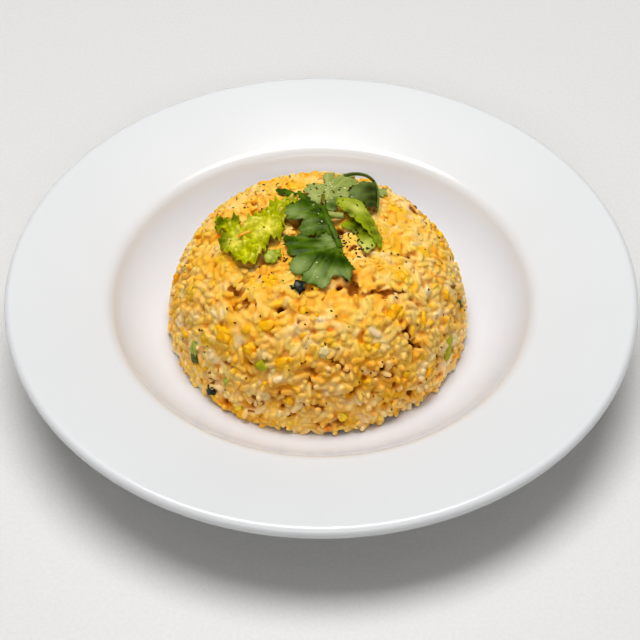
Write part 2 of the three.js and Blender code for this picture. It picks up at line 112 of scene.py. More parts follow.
CAMERA_TARGET = Vector((-0.6, -19.6, 31)) * MM
CAMERA_DISTANCE = 700 * MM
CAMERA_ELEVATION = math.radians(47.06)
CAMERA_LENS = 89.5
CAMERA_SENSOR = 36

# Each softbox, in metres: place, width and depth, and its watts. All are aimed at the plate.
SOFTBOXES = {
    "overhead_softbox": ((-0.08, 0.30, 2.0), (1.6, 1.0), 29.8),
    "ceiling_softbox": ((0.0, 0.1, 2.6), (4.4, 3.4), 15.6),
    "front_softbox": ((0.0, -2.1, 1.7), (3.4, 0.6), 14.2),
}
STUDIO_GLOW = 0.06
TABLE_REACH = 9.0  # metres from the middle to an edge


# ------------------------------------------------------------------ materials

def linear(hex_colour):
    """An sRGB hex colour as linear RGBA."""
    parts = [int(hex_colour[i:i + 2], 16) / 255 for i in (1, 3, 5)]
    return [c / 12.92 if c <= 0.04045 else ((c + 0.055) / 1.055) ** 2.4 for c in parts] + [1.0]


def add(tree, kind, settings=None, links=None):
    """Adds a node. settings are attributes or input values, and links go from sockets to inputs."""
    node = tree.nodes.new(kind)
    for name, value in (settings or {}).items():
        if isinstance(name, str) and hasattr(node, name):
            setattr(node, name, value)
        else:
            node.inputs[name].default_value = value
    for name, socket in (links or {}).items():
        tree.links.new(socket, node.inputs[name])
    return node


def ramp(tree, factor, stops):
    """A colour ramp from (position, hex colour) stops."""
    node = add(tree, "ShaderNodeValToRGB", links={"Fac": factor})
    elements = node.color_ramp.elements
    while len(elements) < len(stops):
        elements.new(0.5)
    for element, (position, colour) in zip(elements, stops):
        element.position = position
        element.color = linear(colour)
    return node.outputs["Color"]


def mix(tree, factor, one, two, blend="MIX"):
    """Mixes two colours, each a socket or a hex colour, by a number or a socket."""
    node = add(tree, "ShaderNodeMix", {"data_type": "RGBA", "blend_type": blend})
    for index, value in ((0, factor), (6, one), (7, two)):
        if isinstance(value, str):
            node.inputs[index].default_value = linear(value)
        elif isinstance(value, (int, float)):
            node.inputs[index].default_value = value
        else:
            tree.links.new(value, node.inputs[index])
    return node.outputs[2]


def pattern(tree, size_mm, detail=2.0):
    """A noise whose features are about size_mm across."""
    place = add(tree, "ShaderNodeTexCoord").outputs["Object"]
    return add(tree, "ShaderNodeTexNoise", {"Scale": 1 / (size_mm * MM), "Detail": detail},
               {"Vector": place}).outputs[0]


def mapped(tree, value, start, end, low=0.0, high=1.0):
    """A number brought from the range start to end into the range low to high."""
    return add(tree, "ShaderNodeMapRange", {"From Min": start, "From Max": end, "To Min": low,
                                            "To Max": high}, {"Value": value}).outputs[0]


def attribute(tree, name):
    """A number that the mesh carries at its points."""
    return add(tree, "ShaderNodeAttribute", {"attribute_name": name}).outputs["Fac"]


def new_material(name, values):
    """A material, its tree, and its Principled shader with values on the shader's own sockets."""
    material = bpy.data.materials.new(name)
    material.use_nodes = True
    tree = material.node_tree
    shader = tree.nodes["Principled BSDF"]
    for socket, value in values.items():
        shader.inputs[socket].default_value = value
    return material, tree, shader


def translucent(weight, radius, scale_mm):
    """The shader's values for light that spreads under the surface."""
    return {"Subsurface Weight": weight, "Subsurface Radius": radius,
            "Subsurface Scale": scale_mm * MM}


def finish(tree, shader, colour, height, distance_mm):
    """Gives the shader its colour, and a surface raised by a pattern."""
    tree.links.new(colour, shader.inputs["Base Color"])
    node = add(tree, "ShaderNodeBump", {"Distance": distance_mm * MM}, {"Height": height})
    tree.links.new(node.outputs["Normal"], shader.inputs["Normal"])


def glazed_porcelain():
    """White porcelain under a clear glaze: glossy and rippled, with a painted cool tint in the well."""
    material, tree, shader = new_material("glazed_porcelain", {"IOR": 1.5})
    colour = ramp(tree, pattern(tree, 60), [(0.3, "#DCDDDE"), (0.7, "#DEDFE0")])
    place = add(tree, "ShaderNodeTexCoord").outputs["Object"]
    reach = add(tree, "ShaderNodeVectorMath", {"operation": "LENGTH"}, {0: place}).outputs["Value"]
    # Painted light: a cooler tint inside the well offsets the warm light that the rice throws onto the
    # glaze.
    painted_cool_well = mapped(tree, reach, (RIM_INNER_RADIUS + 0.8) * MM, (RIM_INNER_RADIUS - 6.2) * MM)
    colour = mix(tree, painted_cool_well, colour, "#DADFE7")
    rough = mapped(tree, pattern(tree, 25), 0, 1, 0.14, 0.24)
    tree.links.new(rough, shader.inputs["Roughness"])
    finish(tree, shader, colour, pattern(tree, 14, 1.0), 0.03)
    return material


def cooked_rice():
    """Steamed long grain rice fried with egg and oil: moist, translucent, with painted amber shade
    between grains.
    """
    material, tree, shader = new_material("fried_rice_mass", {
        "Roughness": 0.4, "IOR": 1.42, "Specular IOR Level": 0.14,
        **translucent(0.85, (1.0, 0.84, 0.4), 1.1)})
    gap = attribute(tree, "gap")
    colour = ramp(tree, attribute(tree, "tone"), GRAIN_TONES)
    oil = ramp(tree, pattern(tree, 9), [(0.42, "#FFFFFF"), (0.62, "#FFDE6C")])
    colour = mix(tree, 0.8, colour, oil, "MULTIPLY")
    # Painted shade: amber in the dips between the grains' crests, less where the rice is pressed.
    colour = mix(tree, mapped(tree, attribute(tree, "dip"), 0.5, 2.5), colour, "#FFB80A")
    # Painted shade: brown where the rice lies deep under the heap's face or in a crack, broken up by a
    # noise.
    dark = add(tree, "ShaderNodeMath", {"operation": "MULTIPLY_ADD", 1: 5.0},
               {0: pattern(tree, 7), 2: gap})
    colour = mix(tree, mapped(tree, dark.outputs[0], 4.5, 6.0), colour, "#9A5A08")
    colour = mix(tree, attribute(tree, "egg"), colour, "#FFC000")
    # Painted shadow: near black in the deepest gaps and cracks.
    colour = mix(tree, mapped(tree, gap, 3.4, 6.0), colour, "#3E1E02")
    finish(tree, shader, colour, pattern(tree, 0.9), 0.12)
    return material


def soft_food(name, stops, size_mm=2.5, rough=0.4):
    """Moist soft food, such as scrambled egg: mottled, slightly translucent, with a wet sheen."""
    material, tree, shader = new_material(name, {
        "Roughness": rough, "IOR": 1.4, **translucent(0.35, (1.0, 0.6, 0.25), 1.6)})
    finish(tree, shader, ramp(tree, pattern(tree, size_mm, 3.0), stops),
           pattern(tree, size_mm * 0.4), 0.15)
    return material


def fresh_leaf(name, blade, vein, shade, sheen, rough=0.34):
    """A fresh herb leaf: waxy, darker between its veins, with painted shade and a greyer painted
    highlight, its sheen.
    """
    material, tree, shader = new_material(name, {
        "Roughness": rough, "Specular IOR Level": 0.1, **translucent(0.15, (0.5, 1.0, 0.2), 0.6)})
    colour = ramp(tree, pattern(tree, 4, 4.0), [(0.35, blade[0]), (0.68, blade[1])])
    # A leaf's shade and sheen are painted shade and a painted highlight.
    for kind, other in (("vein", vein), ("shade", shade), ("sheen", sheen)):
        colour = mix(tree, attribute(tree, kind), colour, other)
    finish(tree, shader, colour, pattern(tree, 0.9, 3.0), 0.12)
    return material


def cracked_pepper():
    """Coarse ground black pepper: matt, near black, with a few brown husks."""
    material, tree, shader = new_material("cracked_pepper", {"Roughness": 0.7})
    husks = ramp(tree, pattern(tree, 3), [(0.4, "#24170C"), (0.7, "#5A3A1C")])
    tree.links.new(husks, shader.inputs["Base Color"])
    return material


def table_top():
    """A pale laminate table: off-white with a fine speckle and a satin finish."""
    material, tree, shader = new_material("table_laminate", {"Roughness": 0.6})
    speckle = ramp(tree, pattern(tree, 1.6, 4.0), [(0.35, "#D7D6D4"), (0.65, "#DBDAD8")])
    finish(tree, shader, speckle, pattern(tree, 1.6, 3.0), 0.02)
    return material


# ------------------------------------------------------------------ making pieces

def placed(name, data):
    """A new object in the scene."""
    obj = bpy.data.objects.new(name, data)
    bpy.context.scene.collection.objects.link(obj)
    return obj


def piece(name, mesh, material, slot, *nodes):
    """Puts a mesh in the scene as a smooth piece of the plated dish."""
    mesh.name = name
    obj = placed(name, mesh)
    mesh.materials.append(material)
    mesh.polygons.foreach_set("use_smooth", [True] * len(mesh.polygons))
    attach(obj, "root")
    if nodes:
        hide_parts(*nodes)
    return obj


def mesh_from(bm, name="mesh"):
    """Turns a bmesh into a mesh and frees it."""
    mesh = bpy.data.meshes.new(name)
    bm.to_mesh(mesh)
    bm.free()
    return mesh


def point_tree(points):
    """A search tree over points, which finds their numbers in the list."""
    tree = KDTree(len(points))
    for index, point in enumerate(points):
        tree.insert(point, index)
    tree.balance()
    return tree


def arc(x, y, radius, start, end, steps):
    """Points on an arc between two angles, with both ends."""
    angles = [start + (end - start) * i / steps for i in range(steps + 1)]
    return [(x + radius * math.cos(a), y + radius * math.sin(a)) for a in angles]


def turned(profile, steps):
    """Spins a profile of (radius, height) points in millimetres round the Z axis."""
    bm = bmesh.new()
    points = [bm.verts.new((radius * MM, 0, height * MM)) for radius, height in profile]
    edges = [bm.edges.new(pair) for pair in zip(points, points[1:])]
    bmesh.ops.spin(bm, geom=points + edges, cent=(0, 0, 0), axis=(0, 0, 1), dvec=(0, 0, 0),
                   angle=math.tau, steps=steps, use_merge=True, use_duplicate=False)
    bmesh.ops.remove_doubles(bm, verts=bm.verts, dist=1e-6)
    bmesh.ops.recalc_face_normals(bm, faces=bm.faces)
    return bm


# ------------------------------------------------------------------ plate

LIP_CENTRE = PLATE_RADIUS - LIP_RADIUS
RIM_OUTER_RADIUS = LIP_CENTRE - LIP_RADIUS * math.sin(RIM_SLOPE)
RIM_OUTER_HEIGHT = LIP_HEIGHT + LIP_RADIUS * math.cos(RIM_SLOPE)
RIM_INNER_HEIGHT = RIM_OUTER_HEIGHT - (RIM_OUTER_RADIUS - RIM_INNER_RADIUS) * math.tan(RIM_SLOPE)
SHOULDER_X = RIM_INNER_RADIUS + SHOULDER_RADIUS * math.sin(RIM_SLOPE)
SHOULDER_Z = RIM_INNER_HEIGHT - SHOULDER_RADIUS * math.cos(RIM_SLOPE)
WALL_TOP_RADIUS = SHOULDER_X - SHOULDER_RADIUS * math.sin(WELL_SLOPE)
WALL_TOP_HEIGHT = SHOULDER_Z + SHOULDER_RADIUS * math.cos(WELL_SLOPE)
WALL_RADIUS = (WALL_TOP_HEIGHT - FLOOR_HEIGHT) / (1 - math.cos(WELL_SLOPE))
FLOOR_RADIUS = WALL_TOP_RADIUS - WALL_RADIUS * math.sin(WELL_SLOPE)
WALL_CENTRE = FLOOR_HEIGHT + WALL_RADIUS


def well_height(radius):
    """Height of the well's upper face at a distance from the plate's axis."""
    out = max(0.0, radius - FLOOR_RADIUS)
    return WALL_CENTRE - math.sqrt(WALL_RADIUS ** 2 - out ** 2)


def make_plate():
    """The plate, turned from its profile: up its underside, round the lip and down into the well."""
    outer_wall = WALL_RADIUS + PLATE_WALL
    foot_top = FOOT_OUTER_RADIUS + FOOT_FLARE
    outer_start = math.asin((foot_top - FLOOR_RADIUS) / outer_wall)
    outer_end = WELL_SLOPE - QUARTER_TURN - 0.03
    recess = [(0, BASE_RECESS), (FOOT_INNER_RADIUS - 3, BASE_RECESS),
              (FOOT_INNER_RADIUS - 1.6, BASE_RECESS - 0.4), (FOOT_INNER_RADIUS - CHAMFER, CHAMFER)]
    foot_flare = [(FOOT_OUTER_RADIUS + 1.2, 2.2), (FOOT_OUTER_RADIUS + 2.2, 4.2)]
    under_shoulder = [(97.9, 26.75), (99.0, 27.1)]
    under_lip = [(LIP_CENTRE - 8, LIP_HEIGHT - LIP_RADIUS - 0.35),
                 (LIP_CENTRE - 4, LIP_HEIGHT - LIP_RADIUS - 0.02)]
    mid_rim = 20
    profile = [
        *recess,
        *arc(FOOT_INNER_RADIUS, CHAMFER, CHAMFER, math.pi + 0.3, math.pi * 1.5, 4),
        *arc(FOOT_OUTER_RADIUS, CHAMFER, CHAMFER, -QUARTER_TURN, -0.2, 5),
        *foot_flare,
        *arc(FLOOR_RADIUS, WALL_CENTRE, outer_wall, outer_start - QUARTER_TURN, outer_end, 18),
        *under_shoulder,
        *under_lip,
        *arc(LIP_CENTRE, LIP_HEIGHT, LIP_RADIUS, -QUARTER_TURN, QUARTER_TURN + RIM_SLOPE, 20),
        (RIM_INNER_RADIUS + mid_rim, RIM_INNER_HEIGHT + mid_rim * math.tan(RIM_SLOPE)),
        *arc(SHOULDER_X, SHOULDER_Z, SHOULDER_RADIUS, QUARTER_TURN + RIM_SLOPE,
             QUARTER_TURN + WELL_SLOPE, 10),
        *arc(FLOOR_RADIUS, WALL_CENTRE, WALL_RADIUS, WELL_SLOPE - QUARTER_TURN, -QUARTER_TURN,
             24)[1:],
        (0, FLOOR_HEIGHT),
    ]
    bm = turned(profile, PLATE_STEPS)
    piece("plate_porcelain", mesh_from(bm), glazed_porcelain(), "porcelain", "plate")


# ------------------------------------------------------------------ the heap's form

def heap_height(distance):
    """Height of the heap's outer face, over the crests of its grains, near its axis."""
    share = min(1.0, distance / HEAP_RADIUS) ** HEAP_SIDE_POWER
    return FLOOR_HEIGHT + HEAP_RISE * (1 - share) ** (1 / HEAP_TOP_POWER)


def heap_distance(height):
    """Distance of the heap's face from its axis at a height."""
    share = (min(max(height - FLOOR_HEIGHT, 0), HEAP_RISE) / HEAP_RISE) ** HEAP_TOP_POWER
    return HEAP_RADIUS * (1 - share) ** (1 / HEAP_SIDE_POWER)


def heap_depth(points):
    """How deep points lie under the heap's outer face, and the outward direction there."""
    flat = np.maximum(np.hypot(points[:, 0], points[:, 1]), 1e-6)
    tall = np.maximum(points[:, 2] - FLOOR_HEIGHT, 0.5)
    level = (flat / HEAP_RADIUS) ** HEAP_SIDE_POWER + (tall / HEAP_RISE) ** HEAP_TOP_POWER
    out = HEAP_SIDE_POWER / HEAP_RADIUS * (flat / HEAP_RADIUS) ** (HEAP_SIDE_POWER - 1)
    up = HEAP_TOP_POWER / HEAP_RISE * (tall / HEAP_RISE) ** (HEAP_TOP_POWER - 1)
    size = np.hypot(out, up)
    normal = np.stack([points[:, 0] / flat * out, points[:, 1] / flat * out, up], 1)
    return (1 - level) / size, normal / size[:, None]


def heap_face(angle, height):
    """The point of the heap's face at an angle round its axis and a height, and its normal."""
    distance = heap_distance(height)
    point = np.array([[distance * math.cos(angle), distance * math.sin(angle), height]])
    return point[0], heap_depth(point)[1][0]


def even_heights(count, lowest):
    """Heights that cut the heap's face into bands of equal area."""
    turns = np.linspace(0, QUARTER_TURN, 400)
    heights = FLOOR_HEIGHT + HEAP_RISE * np.sin(turns)
    radii = np.array([heap_distance(h) for h in heights])
    steps = np.hypot(np.diff(radii), np.diff(heights)) * (radii[1:] + radii[:-1])
    area = np.concatenate([[0], np.cumsum(steps)])
    first = np.interp(lowest, heights, area)
    return np.interp(first + (area[-1] - first) * (np.arange(count) + 0.5) / count, area, heights)


# Cracks between clumps of rice: angle round the heap and height at each end, width and depth.
CRACKS = [
    [(216, 58.8), (230, 58.8), 1.7, 4.2],
    [(222, 54.5), (230, 58.0), 1.5, 3.4],
    [(208, 63.8), (218, 64.0), 1.5, 3.2],
    [(252, 57.8), (260, 58.5), 1.3, 3.2],
    [(298, 62.8), (323, 58.5), 1.3, 4.0],
    [(302, 64.8), (296, 63.2), 1.7, 4.6],
    [(281, 64.5), (292, 64.2), 1.4, 3.2],
    [(276, 64.2), (273, 62.8), 1.0, 2.8],
    [(311, 49.0), (315, 39.2), 1.7, 4.2],
    [(292, 37.8), (300, 34.5), 1.4, 3.4],
    [(275, 48.0), (282, 41.8), 1.4, 3.2],
    [(264, 45.2), (268, 35.5), 1.4, 3.2],
    [(283, 32.8), (289, 35.1), 1.5, 3.0],
    [(245, 25.8), (249, 24.3), 1.4, 2.8],
    [(263, 28.0), (272, 26.4), 1.4, 2.8],
    [(224, 26.6), (227, 19.8), 1.6, 2.8],
    [(20, 50.0), (34, 54.0), 1.8, 3.4],
    [(60, 40.0), (72, 36.0), 1.8, 3.2],
    [(100, 56.0), (116, 52.0), 1.8, 3.4],
    [(140, 38.0), (150, 30.0), 1.8, 3.2],
    [(172, 48.0), (180, 40.0), 1.6, 3.0],
    [(350, 44.0), (356, 36.0), 1.6, 3.0],
]
CRACK_OPEN = 1.7  # no outer grain lies where a crack would push it deeper than this
NOTCHES = 150  # short gaps between grains, all over the heap


def any_way(rng):
    """A random direction, not of unit length."""
    return np.array([rng.uniform(-1, 1) for _ in range(3)])


def crack_lines():
    """Ends, width and depth of every crack and notch."""
    lines = [(heap_face(math.radians(start[0]), start[1])[0],
              heap_face(math.radians(end[0]), end[1])[0], width, depth)
             for start, end, width, depth in CRACKS]
    rng = random.Random(41)
    for height in even_heights(NOTCHES, FLOOR_HEIGHT + 4):
        spot, normal = heap_face(rng.uniform(0, math.tau), height)
        side = np.cross(normal, any_way(rng))
        side *= rng.uniform(0.8, 2.6) / np.linalg.norm(side)
        lines.append((spot - side, spot + side, rng.uniform(0.8, 1.3), rng.uniform(2.2, 3.8)))
    return lines


CRACK_LINES = crack_lines()


def crack_depth(points):
    """How far the cracks push the grains at these points into the heap."""
    deep = np.zeros(len(points))
    for a, b, width, depth in CRACK_LINES:
        along = np.clip(((points - a) @ (b - a)) / ((b - a) @ (b - a)), 0, 1)
        near = np.linalg.norm(points - (a + along[:, None] * (b - a)), axis=1)
        deep = np.maximum(deep, depth * np.exp(-(near / width) ** 2))
    return deep


# ------------------------------------------------------------------ rice

def pressed(points):
    """How firmly the mould has pressed the rice: least low down at the front, and in patches."""
    height = np.clip((points[:, 2] - LOOSE_HEIGHT) / PRESSED_RISE, 0, 1)
    turn = np.degrees(np.arctan2(points[:, 1], points[:, 0])) - LOOSE_ANGLE
    away = np.abs((turn + 180) % 360 - 180)
    side = np.clip((away - LOOSE_REACH) / LOOSE_FADE, 0, PRESSED_SIDES)
    patchy = np.array([noise.noise(Vector(p) / PATCH_SIZE) for p in points])
    return np.clip(np.maximum(height, side) + PATCHINESS * patchy, 0, 1)


def flattened(points):
    """The points with what stands out of the mould's face pressed back to it."""
    deep, normal = heap_depth(points)
    free = FREE_STAND + LOOSE_STAND * (1 - pressed(points)) ** 2
    over = np.maximum(-deep - free, 0)
    return points - normal * (MOULD_FORCE * over)[:, None]


def place_grains(rng):
    """Middles, directions and sizes of the grains: two laid layers and some that stand off."""
    middles, axes, sizes, depths, faces = [], [], [], [], []
    lowest, highest = FLOOR_HEIGHT + 1.6, FLOOR_HEIGHT + HEAP_RISE - 0.1
    for layer, (count, depth, tilt) in enumerate(LAYERS):
        for k, height in enumerate(even_heights(count, FLOOR_HEIGHT + 1.5)):
            angle = k * GOLDEN_ANGLE + layer + rng.uniform(-0.06, 0.06)
            height = min(max(height + rng.uniform(-1.2, 1.2), lowest), highest)
            point, normal = heap_face(angle, height)
            low = 1 - (height - FLOOR_HEIGHT) / HEAP_RISE
            if layer == LOOSE and (low < 0.12 or rng.random() > 0.35 + low):
                continue
            heading = rng.uniform(0, math.pi)
            side = np.cross(normal, [0.02, 0.01, 1])
            side /= np.linalg.norm(side)
            along = side * math.cos(heading) + np.cross(normal, side) * math.sin(heading)
            along += normal * rng.gauss(0, tilt * (0.55 + low))
            faces.append(point)
            middles.append(point - normal * depth)
            axes.append(along / np.linalg.norm(along))
            broken = rng.random() < BROKEN_GRAINS
            length = GRAIN_LENGTH * (rng.uniform(0.5, 0.75) if broken else rng.uniform(0.86, 1.14))
            sizes.append((length, GRAIN_WIDTH * rng.uniform(0.9, 1.14), layer))
            depths.append(depth + rng.uniform(-0.5, 0.9) * (0.4 + 0.6 * low))
    sizes = np.array(sizes)
    kept = (sizes[:, 2] == INNER) | (crack_depth(np.array(faces)) < CRACK_OPEN)
    return np.array(middles)[kept], np.array(axes)[kept], sizes[kept], np.array(depths)[kept]


def near_pairs(middles, reach):
    """Pairs of grains whose middles are closer than reach."""
    first, second = [], []
    block_size = 500
    for start in range(0, len(middles), block_size):
        block = middles[start:start + block_size]
        gap = np.linalg.norm(block[:, None] - middles[None], axis=2)
        i, j = np.nonzero(gap < reach)
        i += start
        keep = i < j
        first.append(i[keep])
        second.append(j[keep])
    return np.concatenate(first), np.concatenate(second)


def clumped(middles, rng):
    """How deep each grain lies in a gap between two clumps, and its clump's own tone."""
    spots = [heap_face(k * GOLDEN_ANGLE + rng.uniform(-0.2, 0.2), height + rng.uniform(-2.5, 2.5))[0]
             for k, height in enumerate(even_heights(CLUMPS, FLOOR_HEIGHT + 3))]
    tree = point_tree(spots)
    tones = [rng.gauss(0, CLUMP_TONE) for _ in spots]
    gaps = [rng.uniform(0.1, 1.0) for _ in spots]
    deep, tone = [], []
    for middle in middles:
        (_, first, near), (_, second, far) = tree.find_n(middle, 2)
        stuck = max(gaps[first], gaps[second])
        deep.append(CLUMP_GAP * stuck * math.exp(-((far - near) / CLUMP_GAP_WIDTH) ** 2))
        tone.append(tones[first])
    return np.array(deep), np.array(tone)


SETTLE_ROUNDS = 26
FRESH_PAIRS = 5  # rounds after which near grains are looked for again
TOUCHING = 0.96  # of two half widths, the distance at which two grains touch
PUSH = 0.32  # of an overlap, taken off in a round
HOMING = 0.35  # of the way to its own depth, gone in a round
CORE_RADIUS = 0.46  # of its width, the radius at which a grain touches others
PAIR_REACH = 1.25 * GRAIN_LENGTH
UNEVEN = 1.1  # how far lumps of rice stand out and lie back, and how much less where pressed
UNEVEN_PRESSED = 0.5
FLOOR_GAP = 0.25


def settle(middles, axes, sizes, depths):
    """Pushes apart grains that cut into each other, and keeps each near its own depth."""
    radius = sizes[:, 1] * CORE_RADIUS
    half = np.maximum(sizes[:, 0] / 2 - radius, 0.2)
    lumps = np.array([noise.noise(Vector(m) / 8) + 0.5 * noise.noise(Vector(m) / 3.5)
                      for m in middles])
    even = UNEVEN - UNEVEN_PRESSED * pressed(middles)
    home = depths + crack_depth(middles) + lumps * even
    for step in range(SETTLE_ROUNDS):
        if step % FRESH_PAIRS == 0:
            i, j = near_pairs(middles, PAIR_REACH)
        gap = middles[i] - middles[j]
        lean = np.sum(axes[i] * axes[j], 1)
        onto_i = np.sum(axes[i] * gap, 1)
        onto_j = np.sum(axes[j] * gap, 1)
        base = np.maximum(1 - lean ** 2, 1e-3)
        s = np.clip((lean * onto_j - onto_i) / base, -half[i], half[i])
        t = np.clip(lean * s + onto_j, -half[j], half[j])
        s = np.clip(lean * t - onto_i, -half[i], half[i])
        apart = gap + s[:, None] * axes[i] - t[:, None] * axes[j]
        size = np.maximum(np.linalg.norm(apart, axis=1), 1e-4)
        over = np.maximum((radius[i] + radius[j]) * TOUCHING - size, 0) * PUSH
        push = apart / size[:, None] * over[:, None]
        for index, sign, lever in ((i, 1, s), (j, -1, t)):
            np.add.at(middles, index, sign * push)
            turn = sign * push * (lever / (half[index] ** 2 + 2))[:, None]
            np.add.at(axes, index, turn)
        axes /= np.linalg.norm(axes, axis=1)[:, None]
        deep, normal = heap_depth(middles)
        middles += normal * ((deep - home) * HOMING)[:, None]
        flat = np.hypot(middles[:, 0], middles[:, 1])
        floor = np.array([well_height(r) for r in flat]) + radius + FLOOR_GAP
        middles[:, 2] = np.maximum(middles[:, 2], floor)
    return middles, axes


def taken_apart(bm):
    """The points and faces of a bmesh, which is freed."""
    points = np.array([v.co[:] for v in bm.verts])
    bm.verts.index_update()
    faces = [[v.index for v in f.verts] for f in bm.faces]
    bm.free()
    return points, faces


def grain_shape(rng):
    """One swollen grain a unit long and a unit wide, lying along Z: blunt, bent and dented."""
    bend = rng.uniform(-0.2, 0.2)
    taper = rng.uniform(-0.16, 0.16)
    blunt = rng.uniform(2.4, 3.8)
    shift = Vector([rng.uniform(0, 50) for _ in range(3)])
    bm = bmesh.new()
    bmesh.ops.create_uvsphere(bm, u_segments=9, v_segments=8, radius=0.5)
    for v in bm.verts:
        z = v.co.z * 2
        ring = math.hypot(v.co.x, v.co.y)
        full = (1 - min(abs(z), 1) ** blunt) ** (1 / 2.2) / 2
        if ring > 1e-6:
            v.co.x *= full / ring
            v.co.y *= full / ring
        dent = 1 + GRAIN_DENT * noise.noise(Vector((v.co.x, v.co.y, z)) * 2.1 + shift)
        v.co.x *= (1 + taper * z) * dent
        v.co.y *= (1 + taper * z) * GRAIN_FLATNESS * dent
        v.co.x += bend * (z * z - 0.4)
        v.co.z *= 1 + 0.05 * noise.noise(v.co * 3 + shift)
    return taken_apart(bm)


def joined(shapes, places):
    """One mesh of copies of small shapes, placed by 4x4 matrices in millimetres."""
    points, loops, counts, owners = [], [], [], []
    total = 0
    for index, matrix in enumerate(places):
        shape, faces = shapes[index % len(shapes)]
        points.append(shape @ matrix[:3, :3].T + matrix[:3, 3])
        for face in faces:
            loops.extend(v + total for v in face)
            counts.append(len(face))
        owners.append(np.full(len(shape), index))
        total += len(shape)
    mesh = bpy.data.meshes.new("joined")
    mesh.vertices.add(total)
    mesh.vertices.foreach_set("co", (np.concatenate(points) * MM).ravel())
    mesh.loops.add(len(loops))
    mesh.loops.foreach_set("vertex_index", loops)
    mesh.polygons.add(len(counts))
    mesh.polygons.foreach_set("loop_start", np.concatenate([[0], np.cumsum(counts)[:-1]]))
    mesh.update(calc_edges=True)
    return mesh, np.concatenate(owners)


def heap_places(mesh):
    """The places of a mesh's points, in millimetres from the heap's axis."""
    where = np.empty(len(mesh.vertices) * 3)
    mesh.vertices.foreach_get("co", where)
    return where.reshape(-1, 3) / MM - HEAP_AXIS


def move_to(mesh, places):
    """Moves a mesh's points to places in millimetres from the heap's axis."""
    mesh.vertices.foreach_set("co", ((places + HEAP_AXIS) * MM).ravel())
    mesh.update()


def matrix_along(middle, axis, normal, width, length, height):
    """A matrix that lays a unit shape along an axis, its Y turned towards a normal."""
    across = np.cross(normal, axis)
    across /= max(np.linalg.norm(across), 1e-6)
    up = np.cross(axis, across)
    matrix = np.eye(4)
    matrix[:3, 0] = across * width
    matrix[:3, 1] = up * height
    matrix[:3, 2] = axis * length
    matrix[:3, 3] = middle + HEAP_AXIS
    return matrix


GRAIN_TONES = [(0.0, "#FFBE40"), (0.45, "#FFCC66"), (0.85, "#FFD9A4"), (1.0, "#FFDFBE")]
# At these spots the nearest grain gets the palest tone: painted highlights where the heap shows white
# glints.
PAINTED_GLINT_GRAINS = [(313, 46), (291, 39), (277, 58.5), (268, 47), (256, 38)]  # angle and height
PALE_SHARE = 0.004  # of the other grains, the share that is as pale
CREST_RADIUS = 0.43  # of its width, how far a grain's crest is from its middle
CREST_REACH = 4.5  # grains nearer to each other than this share one level
# The amber in the dips is painted shade.
PRESSED_PALE = 0.45  # pressed rice has this share less amber in its dips
WHOLE_GRAINS = -0.7  # the lower, the more grains stand whole out of the melted skin
TONE_POINTS = (-0.3, 0.0, 0.3)  # of a grain's length, where the melted skin takes its tone from
TONE_REACH = 1.1
EGG_REACH = 0.55  # of a piece of egg's length, how far it stains the rice
EGG_FLECKS = 80


def crest_levels(middles, sizes):
    """How deep the crests of the outer grains lie round each grain."""
    outer = np.nonzero(sizes[:, 2] != INNER)[0]
    own = heap_depth(middles[outer])[0] - CREST_RADIUS * sizes[outer, 1]
    total, count = own.copy(), np.ones(len(own))
    i, j = near_pairs(middles[outer], CREST_REACH)
    for one, two in ((i, j), (j, i)):
        np.add.at(total, one, own[two])
        np.add.at(count, one, 1)
    levels = np.full(len(middles), np.median(own))
    levels[outer] = total / count
    return levels


def grain_rows(rng):
    """The grains' matrices, tones, kinds and crest levels."""
    middles, axes, sizes, depths = place_grains(rng)
    gaps, clump_tones = clumped(middles, rng)
    middles, axes = settle(middles, axes, sizes, depths + gaps)
    normals = heap_depth(middles)[1]
    levels = crest_levels(middles, sizes)
    glint_spots = [heap_face(math.radians(angle), height)[0] for angle, height in PAINTED_GLINT_GRAINS]
    glint_grains = {int(np.argmin(np.linalg.norm(middles - spot, axis=1))) for spot in glint_spots}
    rows = []
    for k in range(len(middles)):
        length, width, layer = sizes[k]
        normal = normals[k] + 0.5 * any_way(rng)
        matrix = matrix_along(middles[k], axes[k], normal, width, length, width)
        low = 1 - (middles[k][2] - FLOOR_HEIGHT) / HEAP_RISE
        # Lower grains get a paler tone: painted light on the heap's lower face, which the lamps leave
        # darker.
        tone = min(0.9, max(0.0, clump_tones[k] + rng.gauss(0.46, 0.11) + 0.3 * low))
        pale = k in glint_grains or rng.random() < PALE_SHARE
        rows.append((matrix, 1.0 if pale else tone, int(layer), levels[k]))
    return rows


def heart_of_heap():
    """The pressed rice behind the grains."""
    heights = [FLOOR_HEIGHT + HEAP_RISE * math.sin(QUARTER_TURN * i / HEART_RINGS)
               for i in range(HEART_RINGS + 1)]
    profile = [(heap_distance(h), h) for h in heights]
    level = 50
    bm = turned([(0, HEART_BASE), (level, HEART_BASE)] + profile, 2 * HEART_RINGS)
    where = np.array([v.co[:] for v in bm.verts]) / MM
    normals = heap_depth(where)[1]
    deep = LOOSE_DEPTH + (PRESSED_DEPTH - LOOSE_DEPTH) * pressed(where) + 1.5 * crack_depth(where)
    for v, spot, normal, depth in zip(bm.verts, where, normals, deep):
        if spot[2] > HEART_BASE + 0.05 or math.hypot(spot[0], spot[1]) > level + 5:
            rough = noise.noise(Vector(spot) / 3.2) * 0.8 + noise.noise(Vector(spot) / 1.6) * 0.4
            spot = spot - normal * (depth + rough)
            spot[2] = max(spot[2], well_height(math.hypot(spot[0], spot[1])) + 0.5)
        v.co = Vector(spot + HEAP_AXIS) * MM
    bmesh.ops.recalc_face_normals(bm, faces=bm.faces)
    return bm


